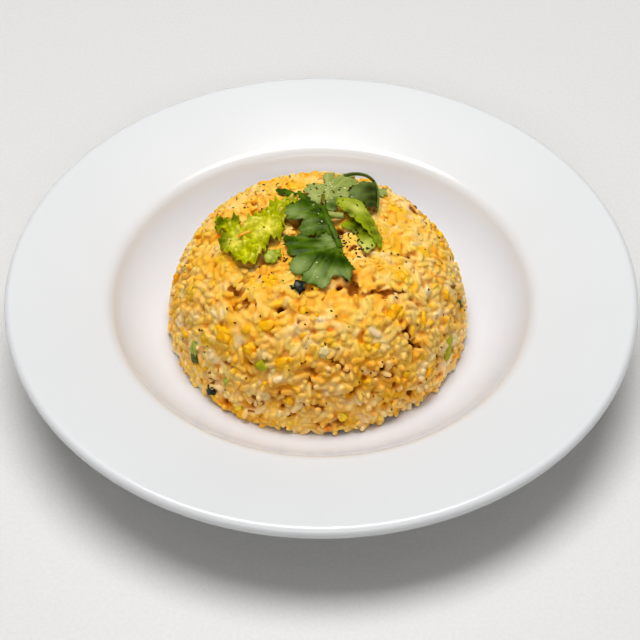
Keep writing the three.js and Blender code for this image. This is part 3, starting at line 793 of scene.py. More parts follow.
def largest_shell(bm):
    """Deletes all but the largest connected shell."""
    left = set(bm.verts)
    shells = []
    while left:
        shell = {left.pop()}
        front = list(shell)
        while front:
            for edge in front.pop().link_edges:
                for v in edge.verts:
                    if v in left:
                        left.discard(v)
                        shell.add(v)
                        front.append(v)
        shells.append(shell)
    largest = max(shells, key=len)
    for shell in shells:
        if shell is not largest:
            bmesh.ops.delete(bm, geom=list(shell), context="VERTS")


def make_mass(shapes, rows, egg_spots):
    """The grains stuck together: their shapes melted into one skin round the pressed rice."""
    bm = heart_of_heap()
    grains = joined(shapes, [row[0] for row in rows])[0]
    move_to(grains, flattened(heap_places(grains)))
    bm.from_mesh(grains)
    rough = placed("rough_mass", mesh_from(bm))
    melt = rough.modifiers.new("melt", "REMESH")
    melt.mode = "VOXEL"
    melt.voxel_size = MASS_VOXEL * MM
    melted = bpy.data.meshes.new_from_object(
        rough.evaluated_get(bpy.context.evaluated_depsgraph_get()))
    bpy.data.objects.remove(rough)
    bm = bmesh.new()
    bm.from_mesh(melted)
    largest_shell(bm)
    low = bmesh.ops.bisect_plane(bm, geom=bm.verts[:] + bm.edges[:] + bm.faces[:],
                                 plane_co=(0, 0, MASS_BASE * MM),
                                 plane_no=(0, 0, -1), clear_outer=True)
    bmesh.ops.holes_fill(bm, edges=[e for e in low["geom_cut"] if isinstance(e, bmesh.types.BMEdge)])
    bmesh.ops.smooth_vert(bm, verts=bm.verts, factor=0.5, use_axis_x=True, use_axis_y=True,
                          use_axis_z=True)
    loose = 1 - pressed(np.array([v.co[:] for v in bm.verts]) / MM - HEAP_AXIS)
    for v, slack in zip(bm.verts, loose):
        v.co -= v.normal * (MASS_SHRINK + LOOSE_SHRINK * slack) * MM
        v.co.z = max(v.co.z, MASS_BASE * MM)
    mesh = mesh_from(bm)

    where = heap_places(mesh)
    tree = point_tree([matrix[:3, 3] + matrix[:3, 2] * part - HEAP_AXIS
                       for matrix, _, _, _ in rows for part in TONE_POINTS])
    tones, levels = np.empty(len(where)), np.empty(len(where))
    for index, spot in enumerate(where):
        near = tree.find_n(spot, 3)
        weights = [math.exp(-(distance / TONE_REACH) ** 2) + 1e-9 for _, _, distance in near]
        owners = [rows[number // len(TONE_POINTS)] for _, number, _ in near]
        whole = sum(weights)
        tones[index] = sum(w * row[1] for w, row in zip(weights, owners)) / whole
        levels[index] = sum(w * row[3] for w, row in zip(weights, owners)) / whole
    # On the mass, cracks count 1.4 times as deep, which darkens the painted shade in them.
    stain_and_painted_shade(mesh, where, tones, levels, egg_spots, 1.0, 1.4)
    return piece("rice_mass", mesh, cooked_rice(), "fried_rice", "rice_mound")


def stain_and_painted_shade(mesh, where, tones, levels, egg_spots, egg_share, crack_share):
    """Gives rice what its material reads: its tone, the egg round it, and its depth and its dip, which
    set its painted shade.
    """
    eggs = np.zeros(len(where))
    for spot, radius in egg_spots:
        near = np.linalg.norm(where - spot, axis=1)
        eggs = np.maximum(eggs, 0.9 * np.exp(-(near / radius) ** 3))
    gap = heap_depth(where)[0]
    given = {"tone": tones, "egg": eggs * egg_share, "gap": gap + crack_share * crack_depth(where),
             "dip": (gap - levels) * (1 - PRESSED_PALE * pressed(where))}
    for name, numbers in given.items():
        mesh.attributes.new(name, "FLOAT", "POINT").data.foreach_set("value", numbers)


def make_grains(shapes, rows, egg_spots, mass):
    """The whole grains that show on the mass, and those that stand off it."""
    material = mass.data.materials[0]
    made = []
    middles = np.array([row[0][:3, 3] for row in rows]) - HEAP_AXIS
    whole = np.array([noise.noise(Vector(m) / 11) for m in middles]) - 0.5 * pressed(middles)
    for layer, name in ((OUTER, "rice_grains"), (LOOSE, "rice_loose_grains")):
        order = [index for index, row in enumerate(rows)
                 if row[2] == layer and (layer == LOOSE or whole[index] > WHOLE_GRAINS)]
        chosen = [rows[index] for index in order]
        own = [shapes[index % len(shapes)] for index in order]
        mesh, owners = joined(own, [row[0] for row in chosen])
        where = flattened(heap_places(mesh))
        move_to(mesh, where)
        tones, levels = (np.array([row[k] for row in chosen])[owners] for k in (1, 3))
        stain_and_painted_shade(mesh, where, tones, levels, egg_spots, 0.8, 0.0)
        made.append(piece(name, mesh, material, "fried_rice"))
    return made


def make_rice():
    """The rice of the heap: one mass, the grains that show on it, and those that stand off it."""
    rng = random.Random(7)
    rows = grain_rows(rng)
    shapes = [grain_shape(rng) for _ in range(GRAIN_SHAPES)]
    egg_spots = []
    for kind, angle, height, length, _, _ in PIECES:
        if kind == "egg":
            egg_spots.append((heap_face(math.radians(angle), height)[0], length * EGG_REACH))
    for _ in range(EGG_FLECKS):
        height = FLOOR_HEIGHT + HEAP_RISE * math.sin(rng.uniform(0.05, 1.45))
        point = heap_face(rng.uniform(0, math.tau), height)[0]
        egg_spots.append((point, rng.uniform(1.3, 3.6)))
    mass = make_mass(shapes, rows, egg_spots)
    return [mass] + make_grains(shapes, rows, egg_spots, mass)


# ------------------------------------------------------------------ egg, vegetables and pepper

# The larger pieces that show in the heap's face: kind, angle round the heap, height, length,
# width and heading from level, as in the solid.
PIECES = [
    ("egg", 190, 31, 10, 6, 70), ("egg", 198, 47, 7, 5, 20), ("egg", 226, 45.6, 9, 6.5, 150),
    ("egg", 245, 55.5, 7, 5, 30), ("egg", 240, 45.7, 6, 5, 80), ("egg", 255, 44.8, 7, 4.5, 40),
    ("egg", 240, 13.5, 6, 5, 10), ("egg", 311, 56, 7, 5, 40), ("egg", 329, 61, 6, 4.5, 100),
    ("egg", 120, 38, 8, 6, 30), ("egg", 60, 30, 8, 5, 130), ("egg", 20, 44, 7, 5, 80),
    ("onion", 214, 30.6, 7, 5, 110), ("onion_dark", 215, 26.5, 6, 4.5, 100),
    ("scallion_dark", 226, 16.7, 5.5, 5, 60), ("onion", 233, 27.5, 4.5, 3.5, 40),
    ("onion_bright", 247, 41.8, 6, 5, 20), ("onion_bright", 331, 26.4, 11, 4, 60),
    ("onion_dark", 351, 31.1, 6, 3, 85), ("onion", 150, 32, 8, 4.5, 50),
    ("onion_bright", 85, 45, 7, 4.5, 20), ("glassy_onion", 273, 50, 6, 5, 10),
    ("corn", 279, 20.1, 5, 4.2, 0), ("corn", 239, 16.5, 4, 3.4, 30), ("corn", 100, 26, 5, 4.2, 60),
    ("carrot", 273, 13.4, 8, 3, 5), ("carrot", 343, 52.5, 5, 3, 60),
]
KIND_SLOTS = {"egg": "fried_rice", "onion": "coriander_underside", "onion_dark": "coriander",
              "onion_bright": "bright_green_leaf", "scallion_dark": "coriander",
              "glassy_onion": "fried_rice", "corn": "fried_rice", "carrot": "carrot"}
SINK = {"egg": 1.3, "glassy_onion": 1.2}  # how deep the middle of a piece lies
USUAL_SINK = 0.9
PIECE_FLATNESS = 0.7
EGG_CRUMBS = 90
CRUMB_SHARE = 1.0  # of the spots that are tried, the share that gets a crumb
CROWN_HEIGHT = 60  # above it, crumbs are spread by distance from the axis instead of height


def lump_shape(rng, rough, detail):
    """A soft irregular lump a unit long, wide and high."""
    bm = bmesh.new()
    bmesh.ops.create_icosphere(bm, subdivisions=detail, radius=0.5)
    shift = Vector([rng.uniform(0, 50) for _ in range(3)])
    for v in bm.verts:
        v.co *= 1 + rough * noise.noise(v.co * 3.1 + shift)
    return taken_apart(bm)


def make_pieces():
    """One piece for each kind of egg and vegetable. Returns the material of the egg."""
    rng = random.Random(11)
    egg = soft_food("scrambled_egg", [(0.35, "#F8AE00"), (0.65, "#FFC60E")])
    kinds = {
        "egg": egg,
        "onion": soft_food("spring_onion_pale", [(0.35, "#8E9E30"), (0.65, "#BCBE58")], 2),
        "onion_dark": soft_food("spring_onion_dark", [(0.4, "#4E5A12"), (0.7, "#76782A")], 2),
        "onion_bright": soft_food("spring_onion_bright", [(0.4, "#A8A800"), (0.7, "#C8C41C")], 3),
        "scallion_dark": soft_food("spring_onion_tip", [(0.4, "#1C241A"), (0.7, "#3C4A34")], 2),
        "glassy_onion": soft_food("glassy_onion", [(0.4, "#D8C07C"), (0.7, "#E6D29C")], 3),
        "corn": soft_food("sweetcorn", [(0.4, "#FFD414"), (0.6, "#FFE347")], 3, 0.25),
        "carrot": soft_food("carrot", [(0.4, "#E9901F"), (0.6, "#F2A93B")], 2),
    }
    for kind, material in kinds.items():
        rows = [row for row in PIECES if row[0] == kind]
        shapes = [lump_shape(rng, 0.5, 3) for _ in rows]
        places = []
        for _, angle, height, length, width, heading in rows:
            point, normal = heap_face(math.radians(angle), height)
            level = np.array([-point[1], point[0], 0]) / math.hypot(point[0], point[1])
            lean = math.radians(heading)
            along = level * math.cos(lean) + np.cross(normal, level) * math.sin(lean)
            middle = point - normal * SINK.get(kind, USUAL_SINK)
            places.append(matrix_along(middle, along, normal, width, length,
                                       PIECE_FLATNESS * width))
        piece(kind + "_pieces", joined(shapes, places)[0], material, KIND_SLOTS[kind])
    return egg


def surface_tree(objects):
    """A search tree over the faces of objects, in millimetres."""
    points, faces = [], []
    for obj in objects:
        base = len(points)
        points.extend(v.co / MM for v in obj.data.vertices)
        faces.extend([base + i for i in p.vertices] for p in obj.data.polygons)
    return BVHTree.FromPolygons(points, faces)


def grit_place(rng, spot, normal, across, size, longest, lift):
    """A matrix for one crumb on a surface, lying any way round, lifted by a share of its size."""
    grit = rng.uniform(*size)
    axis = np.cross(across, any_way(rng))
    axis /= np.linalg.norm(axis)
    middle = np.array(spot) - HEAP_AXIS + np.array(normal) * grit * lift
    return matrix_along(middle, axis, np.array(normal), grit, grit * rng.uniform(1.0, longest),
                        grit * 0.8)


def make_crumbs(rice, egg):
    """Crumbs of egg on the rice, sunk into it by a quarter of their size."""
    rng = random.Random(23)
    shapes = [lump_shape(rng, 0.6, 2) for _ in range(6)]
    tree = surface_tree(rice)
    places = []
    while len(places) < EGG_CRUMBS:
        height = FLOOR_HEIGHT + 2 + (HEAP_RISE - 2.02) * rng.random() ** 0.75
        angle = rng.uniform(0, math.tau)
        if rng.random() > heap_distance(height) / HEAP_RADIUS + 0.25:
            continue
        point, normal = heap_face(angle, height)
        if height > CROWN_HEIGHT:
            reach = heap_distance(CROWN_HEIGHT) * math.sqrt(rng.random())
            point = np.array([reach * math.cos(angle), reach * math.sin(angle), heap_height(reach)])
            normal = heap_depth(point[None])[1][0]
        if rng.random() > CRUMB_SHARE:
            continue
        start = Vector(point + normal * 8) + Vector(HEAP_AXIS)
        spot, face_normal, _, _ = tree.ray_cast(start, Vector(-normal), 16)
        if spot is not None:
            places.append(grit_place(rng, spot, face_normal, normal, (2.0, 4.2), 1.6, -0.25))
    piece("egg_crumbs", joined(shapes, places)[0], egg, "fried_rice")


# ------------------------------------------------------------------ garnish

# Outlines in plan from the heap's axis, on the solids' places. A ramp is (axis, from, to, rise)
# and a spot of painted shade or painted highlight, sheen, (x, y, radius, strength). A fold is (line,
# rise on its right, width).
# Thicknesses, heights and depths are in millimetres, and ripples are counted over RIPPLE_LENGTH.
RIPPLE_LENGTH = 20
FRONT_RAMP = ("y", -6, 4, 3.2)
LEAVES = {
    "front_upper": dict(
        outline=[(-8.8, 21.8), (-6.9, 20.1), (-5.1, 18.0), (-2.7, 15.1), (-0.5, 13.2), (0.8, 10.8),
            (1.8, 8.5), (2.9, 5.4), (4.2, 1.6), (6.3, -2.1), (8.1, -5.5), (5.7, -4.0), (3.7, -2.0),
            (1.6, -2.5), (0.3, -4.5), (-0.8, -2.5), (-2.1, -3.8), (-3.1, -2.0), (-4.1, -4.2),
            (-5.2, -2.3), (-6.0, -4.4), (-7.3, -2.5), (-8.1, -1.4), (-7.3, 0.9), (-6.0, 3.1),
            (-6.8, 4.3), (-8.4, 3.9), (-9.9, 3.2), (-11.3, 4.2), (-12.6, 3.3), (-13.5, 5.3),
            (-12.6, 6.4), (-14.6, 6.9), (-13.6, 8.6), (-15.4, 10.2), (-14.0, 11.4), (-13.2, 12.9),
            (-11.1, 13.7), (-9.8, 13.9), (-8.5, 15.2), (-7.4, 16.4), (-8.3, 18.9)],
        veins=[[(7.8, -4.8), (4.2, 1.6), (0, 7.7), (-4.2, 14), (-8.3, 20.9)], [(1.6, 5.4), (-3.7, 7.7),
            (-10, 9.3), (-14.8, 10)], [(4.7, 0.1), (-0.5, 0.5), (-6.8, -1)], [(-1.6, 10), (-6.8, 7.7),
            (-13.1, 4.7)]],
        shade=[(-4.2, 14.6, 4, 0.7), (-0.5, 8.2, 2.8, 0.9), (2.4, 2, 2.6, 0.9)],
        sheen=[(-11, 8.2, 3.4, 0.9), (-3.7, 1.2, 3, 0.4), (-7, 5.6, 2.6, 0.8)],
        lift=0.2, ripple=0.8, along=30, ramps=[FRONT_RAMP]),
    "front_lower": dict(
        outline=[(9.6, -6.4), (7.8, -2.7), (5.7, -1.2), (1.6, -2.7), (-2.6, -4.2), (-6.8, -2.7),
            (-9.7, -1.1), (-8.6, -3.1), (-10.9, -3.6), (-13.0, -3.2), (-16.1, -2.5), (-14.3, -4.5),
            (-15.1, -6.2), (-13.8, -7.1), (-15.5, -9.4), (-13.5, -10.0), (-12.8, -12.2), (-13.3, -13.8),
            (-11.8, -15.5), (-9.8, -16.4), (-11.0, -17.2), (-12.4, -18.9), (-11.5, -20.3),
            (-13.3, -23.0), (-10.9, -23.7), (-9.8, -25.0), (-8.1, -26.4), (-6.0, -26.7), (-6.6, -27.7),
            (-8.0, -29.7), (-5.8, -29.9), (-4.0, -30.8), (-2.5, -30.5), (-1.2, -31.0), (0.0, -32.5),
            (1.7, -33.4), (3.6, -32.3), (5.4, -30.5), (5.1, -29.3), (5.9, -27.7), (7.7, -26.8),
            (9.2, -27.1), (11.2, -27.9), (13.2, -30.0), (14.1, -29.2), (14.5, -27.0), (14.2, -25.4),
            (16.2, -23.1), (15.1, -21.1), (14.1, -19.2), (12.4, -15.8), (10.9, -12.3), (10.0, -9.4)],
        veins=[[(9.4, -6.8), (3.6, -5), (-3.6, -5.7), (-15.1, -3)], [(9.1, -7.9), (1.6, -9.4),
            (-6.7, -10.1), (-15, -9.3)], [(8.8, -8.7), (1.6, -12.4), (-5.1, -14.5), (-11.3, -15.8)],
            [(7.8, -10.9), (2.6, -19.5), (-1.5, -26.2), (-3.5, -30.5)], [(8.8, -11.6), (6.7, -20.8),
            (4.1, -27.4), (1.8, -33.2)], [(9.6, -11.6), (11.8, -20.6), (13.5, -29.5)], [(9.8, -11.6),
            (13.4, -18.5), (16.1, -22.9)]],
        folds=[([(7.8, -10.5), (3.6, -13.2), (0.5, -16.7), (-2.0, -20.8), (-3.8, -24.2), (-7.1, -25.6)],
            1.0, 4.0)],
        shade=[(-12, -7.4, 3.4, 0.8), (-7.7, -12.6, 3.2, 0.7), (-1.5, -5.7, 3, 0.7),
            (5.8, -17.5, 4.2, 1.0), (10.6, -18.6, 3.8, 1.0), (1.6, -17, 3.2, 1.0)],
        sheen=[(4.2, -5.7, 2.6, 0.9), (6.2, -9, 2.4, 0.8), (1, -9.8, 2, 0.6), (-8.5, -21.5, 4.6, 1.0),
            (-1.5, -25.2, 4, 1.0), (2.6, -30, 3.2, 0.9), (6.5, -25.8, 3.2, 0.9),
            (11.6, -25.6, 2.6, 0.7), (-10, -2.4, 1.6, 0.5)],
        ripple=1.0, along=60, ramps=[FRONT_RAMP]),
    "back": dict(
        outline=[(-5.9, 27.3), (-4.3, 28.1), (-4.8, 30.1), (-2.7, 30.3), (-1.4, 32.3), (0.5, 30.5),
            (1.6, 31.7), (2.9, 32.5), (3.2, 35.8), (2.3, 39.5), (3.8, 44.5), (5.4, 41.7), (7.1, 43.5),
            (7.4, 38.6), (7.0, 35.1), (8.7, 37.5), (9.5, 40.3), (11.4, 39.7), (12.0, 42.6),
            (14.2, 41.3), (17.0, 43.9), (16.1, 39.9), (14.9, 37.8), (16.8, 37.2), (18.3, 36.3),
            (16.8, 33.5), (18.2, 31.8), (15.6, 30.5), (14.0, 28.8), (12.9, 25.8), (14.3, 23.6),
            (13.3, 21.2), (11.7, 19.6), (9.6, 18.7), (8.5, 17.3), (8.2, 13.0), (5.8, 12.0), (4.2, 12.6),
            (3.7, 16.5), (4.0, 19.0), (2.4, 19.8), (1.3, 18.8), (0.8, 13.5), (0, 14.3), (-1.3, 14.8),
            (-2.1, 16.5), (-3.2, 18.0), (-3.7, 20.2), (-4.7, 21.9), (-3.4, 23.2), (-5.5, 24.3)],
        veins=[[(3.7, 19.8), (4.3, 27.7), (4.3, 35.9), (4.3, 43.6)], [(4, 21.5), (0, 25.8),
            (-5.7, 27.2)], [(4.3, 25.8), (9.1, 30.8), (17, 43.4)], [(4.3, 22.3), (9.1, 23.3),
            (13.9, 22.3)]],
        shade=[(6.4, 15.4, 3.4, 1.0), (8, 20, 2.6, 0.6)],
        sheen=[(-2.5, 21.5, 4, 0.5)],
        ripple=1.2, along=20),
    "curled_face": dict(
        outline=[(13.8, 24.6), (16.1, 30.2), (17.9, 31.3), (20.0, 34.4), (21.6, 31.9), (24.0, 31.5),
            (25.4, 33.3), (26.5, 30.6), (26.8, 25.9), (26.5, 19.1), (25.6, 12.8), (23.3, 12.2),
            (21.2, 13.3), (20.6, 17.0), (18.6, 18.1), (15.4, 19.8), (13.6, 21.1)],
        veins=[[(25.1, 21.6), (20.9, 24.5), (14.5, 25.6)], [(23.9, 17.8), (19.7, 20.8)]],
        shade=[(24.4, 19, 4.2, 1.0), (23.4, 25.4, 3.8, 1.0), (23.6, 14, 3.4, 1.0)],
        sheen=[(17, 25, 3, 0.6)],
        lift=0.3, ripple=0.8, along=100, ramps=[("x", 15, 24.6, 2.6), ("x", 24.8, 27.6, -2.0)]),
    "small": dict(
        outline=[(-18.9, 28.2), (-17.8, 29.4), (-16.5, 28.4), (-14.6, 28.7), (-12.9, 27.4),
            (-11.6, 26.5), (-9.8, 25.1), (-9.2, 23.7), (-10.5, 23.2), (-11.8, 22.0), (-12.9, 23.6),
            (-14.5, 23.4), (-16.2, 24.9), (-17.1, 24.4), (-17.8, 26.2)],
        veins=[[(-9.6, 24.2), (-14, 26), (-18, 27.9)]],
        shade=[(-17, 27, 3, 0.8)],
        ripple=0.4),
    "far": dict(
        outline=[(27.4, 32.7), (29.0, 32.7), (29.7, 35.8), (31.2, 35.5), (30.5, 31.8), (31.3, 30.1),
            (29.7, 27.7), (28.9, 24.5), (28.0, 25.9), (27.1, 24.9)],
        veins=[[(27.6, 29), (31, 33)]],
        ripple=0.4),
    "frilly": dict(
        outline=[(-44.7, 10.8), (-43.7, 12.8), (-42.5, 10.3), (-41.3, 8.4), (-39.9, 6.5), (-38.9, 9.0),
            (-37.3, 10.0), (-36.6, 11.6), (-35.7, 9.0), (-33.9, 6.7), (-34.2, 4.6), (-35.1, 3.4),
            (-33.1, 2.6), (-31.3, 3.5), (-30.5, 6.1), (-28.8, 8.2), (-26.4, 9.5), (-24.8, 10.5),
            (-22.7, 9.8), (-22.0, 13.0), (-21.2, 15.0), (-19.1, 16.5), (-17.6, 18.0), (-14.9, 18.7),
            (-12.3, 18.7), (-9.6, 18.0), (-8.4, 16.8), (-10.4, 15.2), (-12.7, 14.5), (-14.0, 12.9),
            (-14.5, 9.4), (-13.0, 6.2), (-14.4, 4.7), (-15.7, 3.2), (-14.2, 1.3), (-15.6, 0.2),
            (-14.3, -2.1), (-16.4, -3.6), (-15.8, -5.8), (-17.6, -6.5), (-18.4, -8.0), (-20.2, -7.7),
            (-21.2, -9.2), (-22.3, -11.2), (-23.3, -14.6), (-25.2, -16.5), (-26.7, -18.6),
            (-29.8, -19.9), (-32.4, -18.5), (-34.5, -15.7), (-36.8, -12.8), (-40.6, -8.9),
            (-41.8, -6.4), (-40.6, -5.5), (-42.8, -3.8), (-41.4, -2.6), (-40.9, -0.2), (-39.6, 1.6),
            (-40.3, 4.2), (-42.2, 4.1), (-44.3, 6.2)],
        veins=[[(-9.1, 17.2), (-15.3, 11), (-21.5, 3.5), (-28.7, -3.3), (-36.4, -7.5)], [(-21.5, 3.5),
            (-19.2, -5.7)], [(-26.1, -0.7), (-23.2, -12.6)], [(-31.3, -4.4), (-30.3, -18.3)],
            [(-32.8, -5.5), (-41.7, 4.8)]],
        shade=[(-42.6, 8.5, 3.6, 1.0), (-36.8, 9.2, 3.0, 1.0), (-41.2, -5, 3.4, 1.0),
            (-40.8, 0, 2.4, 0.8), (-19.6, 13.6, 3.4, 0.3), (-15, 15.4, 4.4, 0.25), (-11, 16.6, 3, 0.3),
            (-17.4, -4.6, 2.2, 0.6), (-15, 6, 3, 0.5)],
        sheen=[(-22, 0.5, 3.4, 1.0), (-25, -2.4, 2.6, 0.8), (-35.9, -6.2, 3, 0.9),
            (-28.4, 4.2, 2.6, 0.6), (-35, -0.6, 2, 0.5)],
        ripple=1.8, ripples=2.6, along=35),
    "folded_upper": dict(
        outline=[(7.9, 13.0), (8.4, 15.2), (8.5, 17.2), (10.6, 16.9), (14.3, 16.8), (18.3, 16.8),
            (20.1, 15.2), (21.6, 11.4), (23.4, 7.5), (24.9, 3.8), (26.1, -0.7), (27.9, -5.3),
            (26.9, -6.5), (27.5, -9.4), (26.1, -10.3), (25.7, -7.5), (24.5, -8.3), (23.7, -4.8),
            (22.0, -3.4), (21.4, -1.1), (19.4, -0.3), (18.8, 1.8), (16.8, 2.4), (16.0, 4.8),
            (14.2, 4.7), (13.1, 7.3), (11.6, 7.6), (10.5, 9.3), (9.4, 10.9)],
        veins=[[(18, 16.4), (22.1, 8.2), (25, -0.8), (27.2, -8.6)], [(19.3, 15.7), (23.4, 6.7),
            (25.8, -0.7), (27.6, -6.4)], [(16.4, 16.3), (20.5, 8.1), (23.7, -0.9), (25.9, -8)],
            [(20.5, 8.9), (16.4, 11), (9, 14.8)], [(22, 4.3), (18.4, 4.9), (13.6, 5.5)]],
        shade=[(13.4, 7.4, 2.2, 0.9), (21.8, 8.4, 1.6, 0.6), (22.4, 3.6, 2.8, 0.7),
            (24.8, -1.8, 2.6, 0.75), (26.4, -6.6, 2.6, 0.6)],
        sheen=[(13.8, 12.6, 3.6, 0.35), (16.9, 10.6, 3, 1.0)],
        lift=1.0, ramps=[("x", 27, 12, 3.2)]),
    "folded_lower": dict(
        outline=[(10.0, 3.6), (12.1, 5.3), (14.2, 7.0), (16.8, 6.2), (19.4, 4.8), (22.5, -0.4),
            (25.0, -4.6), (25.0, -8.2), (24.5, -10.1), (22.8, -11.1), (21.2, -13.3), (19.7, -12.0),
            (19.0, -9.4), (17.2, -8.2), (16.8, -5.9), (17.7, -4.0), (16.7, -2.2), (14.1, 0.6),
            (11.5, 1.7)],
        veins=[[(24.5, -4.7), (20.8, -6.4), (20.2, -12.2)], [(22, 0), (17, 1.4)]],
        shade=[(16.4, 1.4, 3.4, 1.0), (20.6, -1.4, 3, 0.9)],
        sheen=[(20.2, -9.6, 3.6, 1.0), (19, -7, 2, 0.6)],
        lift=0.3, ramps=[("x", 20, 27, 0.5)]),
    "pale_bit": dict(
        outline=[(-23.3, -14.8), (-22.2, -13.1), (-21.5, -11.2), (-19.9, -12.5), (-18.6, -11.8),
            (-17.0, -12.4), (-15.6, -11.2), (-16.0, -13.8), (-15.3, -15.6), (-17.0, -16.2),
            (-17.5, -18.2), (-19.0, -19.5), (-20.3, -18.2), (-21.7, -18.4), (-22.4, -16.5)],
        veins=[[(-16, -12), (-21.6, -16)]],
        sheen=[(-20.5, -15.4, 2.4, 0.9)],
        ripple=0.5),
    "scrap": dict(
        outline=[(-11.8, -31.1), (-9.9, -30.7), (-9.4, -28.7), (-8.1, -28.5), (-6.6, -29.3),
            (-5.1, -29.6), (-5.6, -32.0), (-5.2, -33.5), (-6.6, -34.3), (-7.6, -36.1), (-8.3, -34.2),
            (-9.5, -33.1), (-10.6, -32.7)],
        veins=[[(-6, -30.4), (-11, -31.6)]],
        sheen=[(-8.4, -31, 1.0, 1.0)]),
}

# Stalks along points (x, y, lift of the underside), smoothed between them.
STALKS = {
    "coriander_front": dict(
        route=[(2.4, 12, 3.6), (2.9, 8.8, 3.8), (3.9, 4.6, 3.6), (6.3, -1.6, 2.6), (8.6, -7, 0.9),
            (9.6, -11.4, 0.5)],
        width=2.6, height=0.9),
    "coriander_curled": dict(
        route=[(11.8, 38.4, 0.6), (14.7, 39.2, 1.6), (17.4, 39.4, 2.2), (20.1, 38.9, 2.6),
            (22.3, 37.4, 2.8), (24.4, 34.2, 2.8), (25.8, 30.0, 2.8), (26.5, 25.0, 2.4),
            (26.6, 18.2, 1.6), (25.6, 12.0, 0.4)],
        width=1.0, height=1.9),
    "coriander_leaflet": dict(
        route=[(-9.8, 24.2, 0.2), (-8.4, 23, 1.0), (-7, 22, 1.8)], width=0.8, height=0.7),
    "cut_stem": dict(
        route=[(4.2, 8.6, 0.2), (7.4, 8.0, 0.1), (11.2, 7.8, 0)], width=3.3, height=3.0, sides=16,
        taper=0.92, rough=0.12),
    "brown_stem": dict(
        route=[(2.3, 19.4, 2.6), (2.4, 15.1, 3.0), (2.4, 11.4, 3.4)], width=1.5, height=1.5,
        sides=12, rough=0.1),
    "carrot_strip": dict(
        route=[(-34.3, -5.2, 3.4), (-31.7, -4.2, 3.8), (-29, -3.2, 3.6)], width=1.5, height=0.9),
}


def smoothstep(value):
    """Eases from 0 to 1."""
    value = min(max(value, 0.0), 1.0)
    return value * value * (3 - 2 * value)


def lift_at(leaf, x, y):
    """How far a leaf floats over the heap: its lift, a ripple and its ramps, as in the solids."""
    along = math.radians(leaf.get("along", 0))
    run = x * math.cos(along) + y * math.sin(along)
    turns = run * leaf.get("ripples", 1) / RIPPLE_LENGTH
    wave = 0.5 * leaf.get("ripple", 0) * (1 + math.sin(math.tau * turns))
    climb = 0.0
    for axis, start, end, rise in leaf.get("ramps", ()):
        share = ((x if axis == "x" else y) - start) / (end - start)
        climb += rise * smoothstep(share)
    return LEAF_CLEARANCE + leaf.get("lift", 0) + wave + climb


TOOTH_SHAPE = ((0.35, 0.8), (0.6, 1.0), (1.0, 0.0))  # each point's place and height in its tooth
ROW_SPACING = 0.87 * LEAF_SPACING
WAVE_HEIGHT = 0.25  # of a blade's own slow waves, and their size
WAVE_SIZE = 2.2
QUILT_WIDTH = 1.3  # from a vein to where the blade between the veins stands full
EDGE_WIDTH = 1.2  # and from the edge
CRINKLE_SIZES = (3.3, 1.7)
# From these levels crinkle valleys take painted shade and crinkle ridges a painted highlight.
VALLEY_START = 0.32
RIDGE_START = 0.4
RIDGE_RISE = 0.26
RUFFLE_LENGTH = 4.2
RUFFLE_WIDTH = 1.6
# The width of the painted shade along a fold's crease.
CREASE_WIDTH = 0.42
STALK_STEPS = 6  # between two points of a stalk


def toothed(outline, rng, tooth, depth):
    """The outline with small teeth between its own points."""
    points = []
    for a, b in zip(outline, outline[1:] + outline[:1]):
        a, b = Vector(a), Vector(b)
        length = (b - a).length
        out = Vector((a.y - b.y, b.x - a.x)) / max(length, 1e-6)
        points.append(a)
        teeth = int(length / tooth)
        for k in range(teeth):
            for share, height in TOOTH_SHAPE:
                at = (k + share) / teeth
                if at > 0.98:
                    continue
                points.append(a.lerp(b, at) + out * depth * height * rng.uniform(0.5, 1.1))
    return points


def line_reach(line, x, y):
    """Distance from a point to a line, and on which side of the line the point lies."""
    here = Vector((x, y))
    best, side = 99.0, 1
    for a, b in zip(line, line[1:]):
        a, b = Vector(a), Vector(b)
        share = min(max((here - a).dot(b - a) / (b - a).length_squared, 0), 1)
        gap = here - a.lerp(b, share)
        if gap.length < best:
            best = gap.length
            side = 1 if (b - a).x * gap.y - (b - a).y * gap.x > 0 else -1
    return best, side


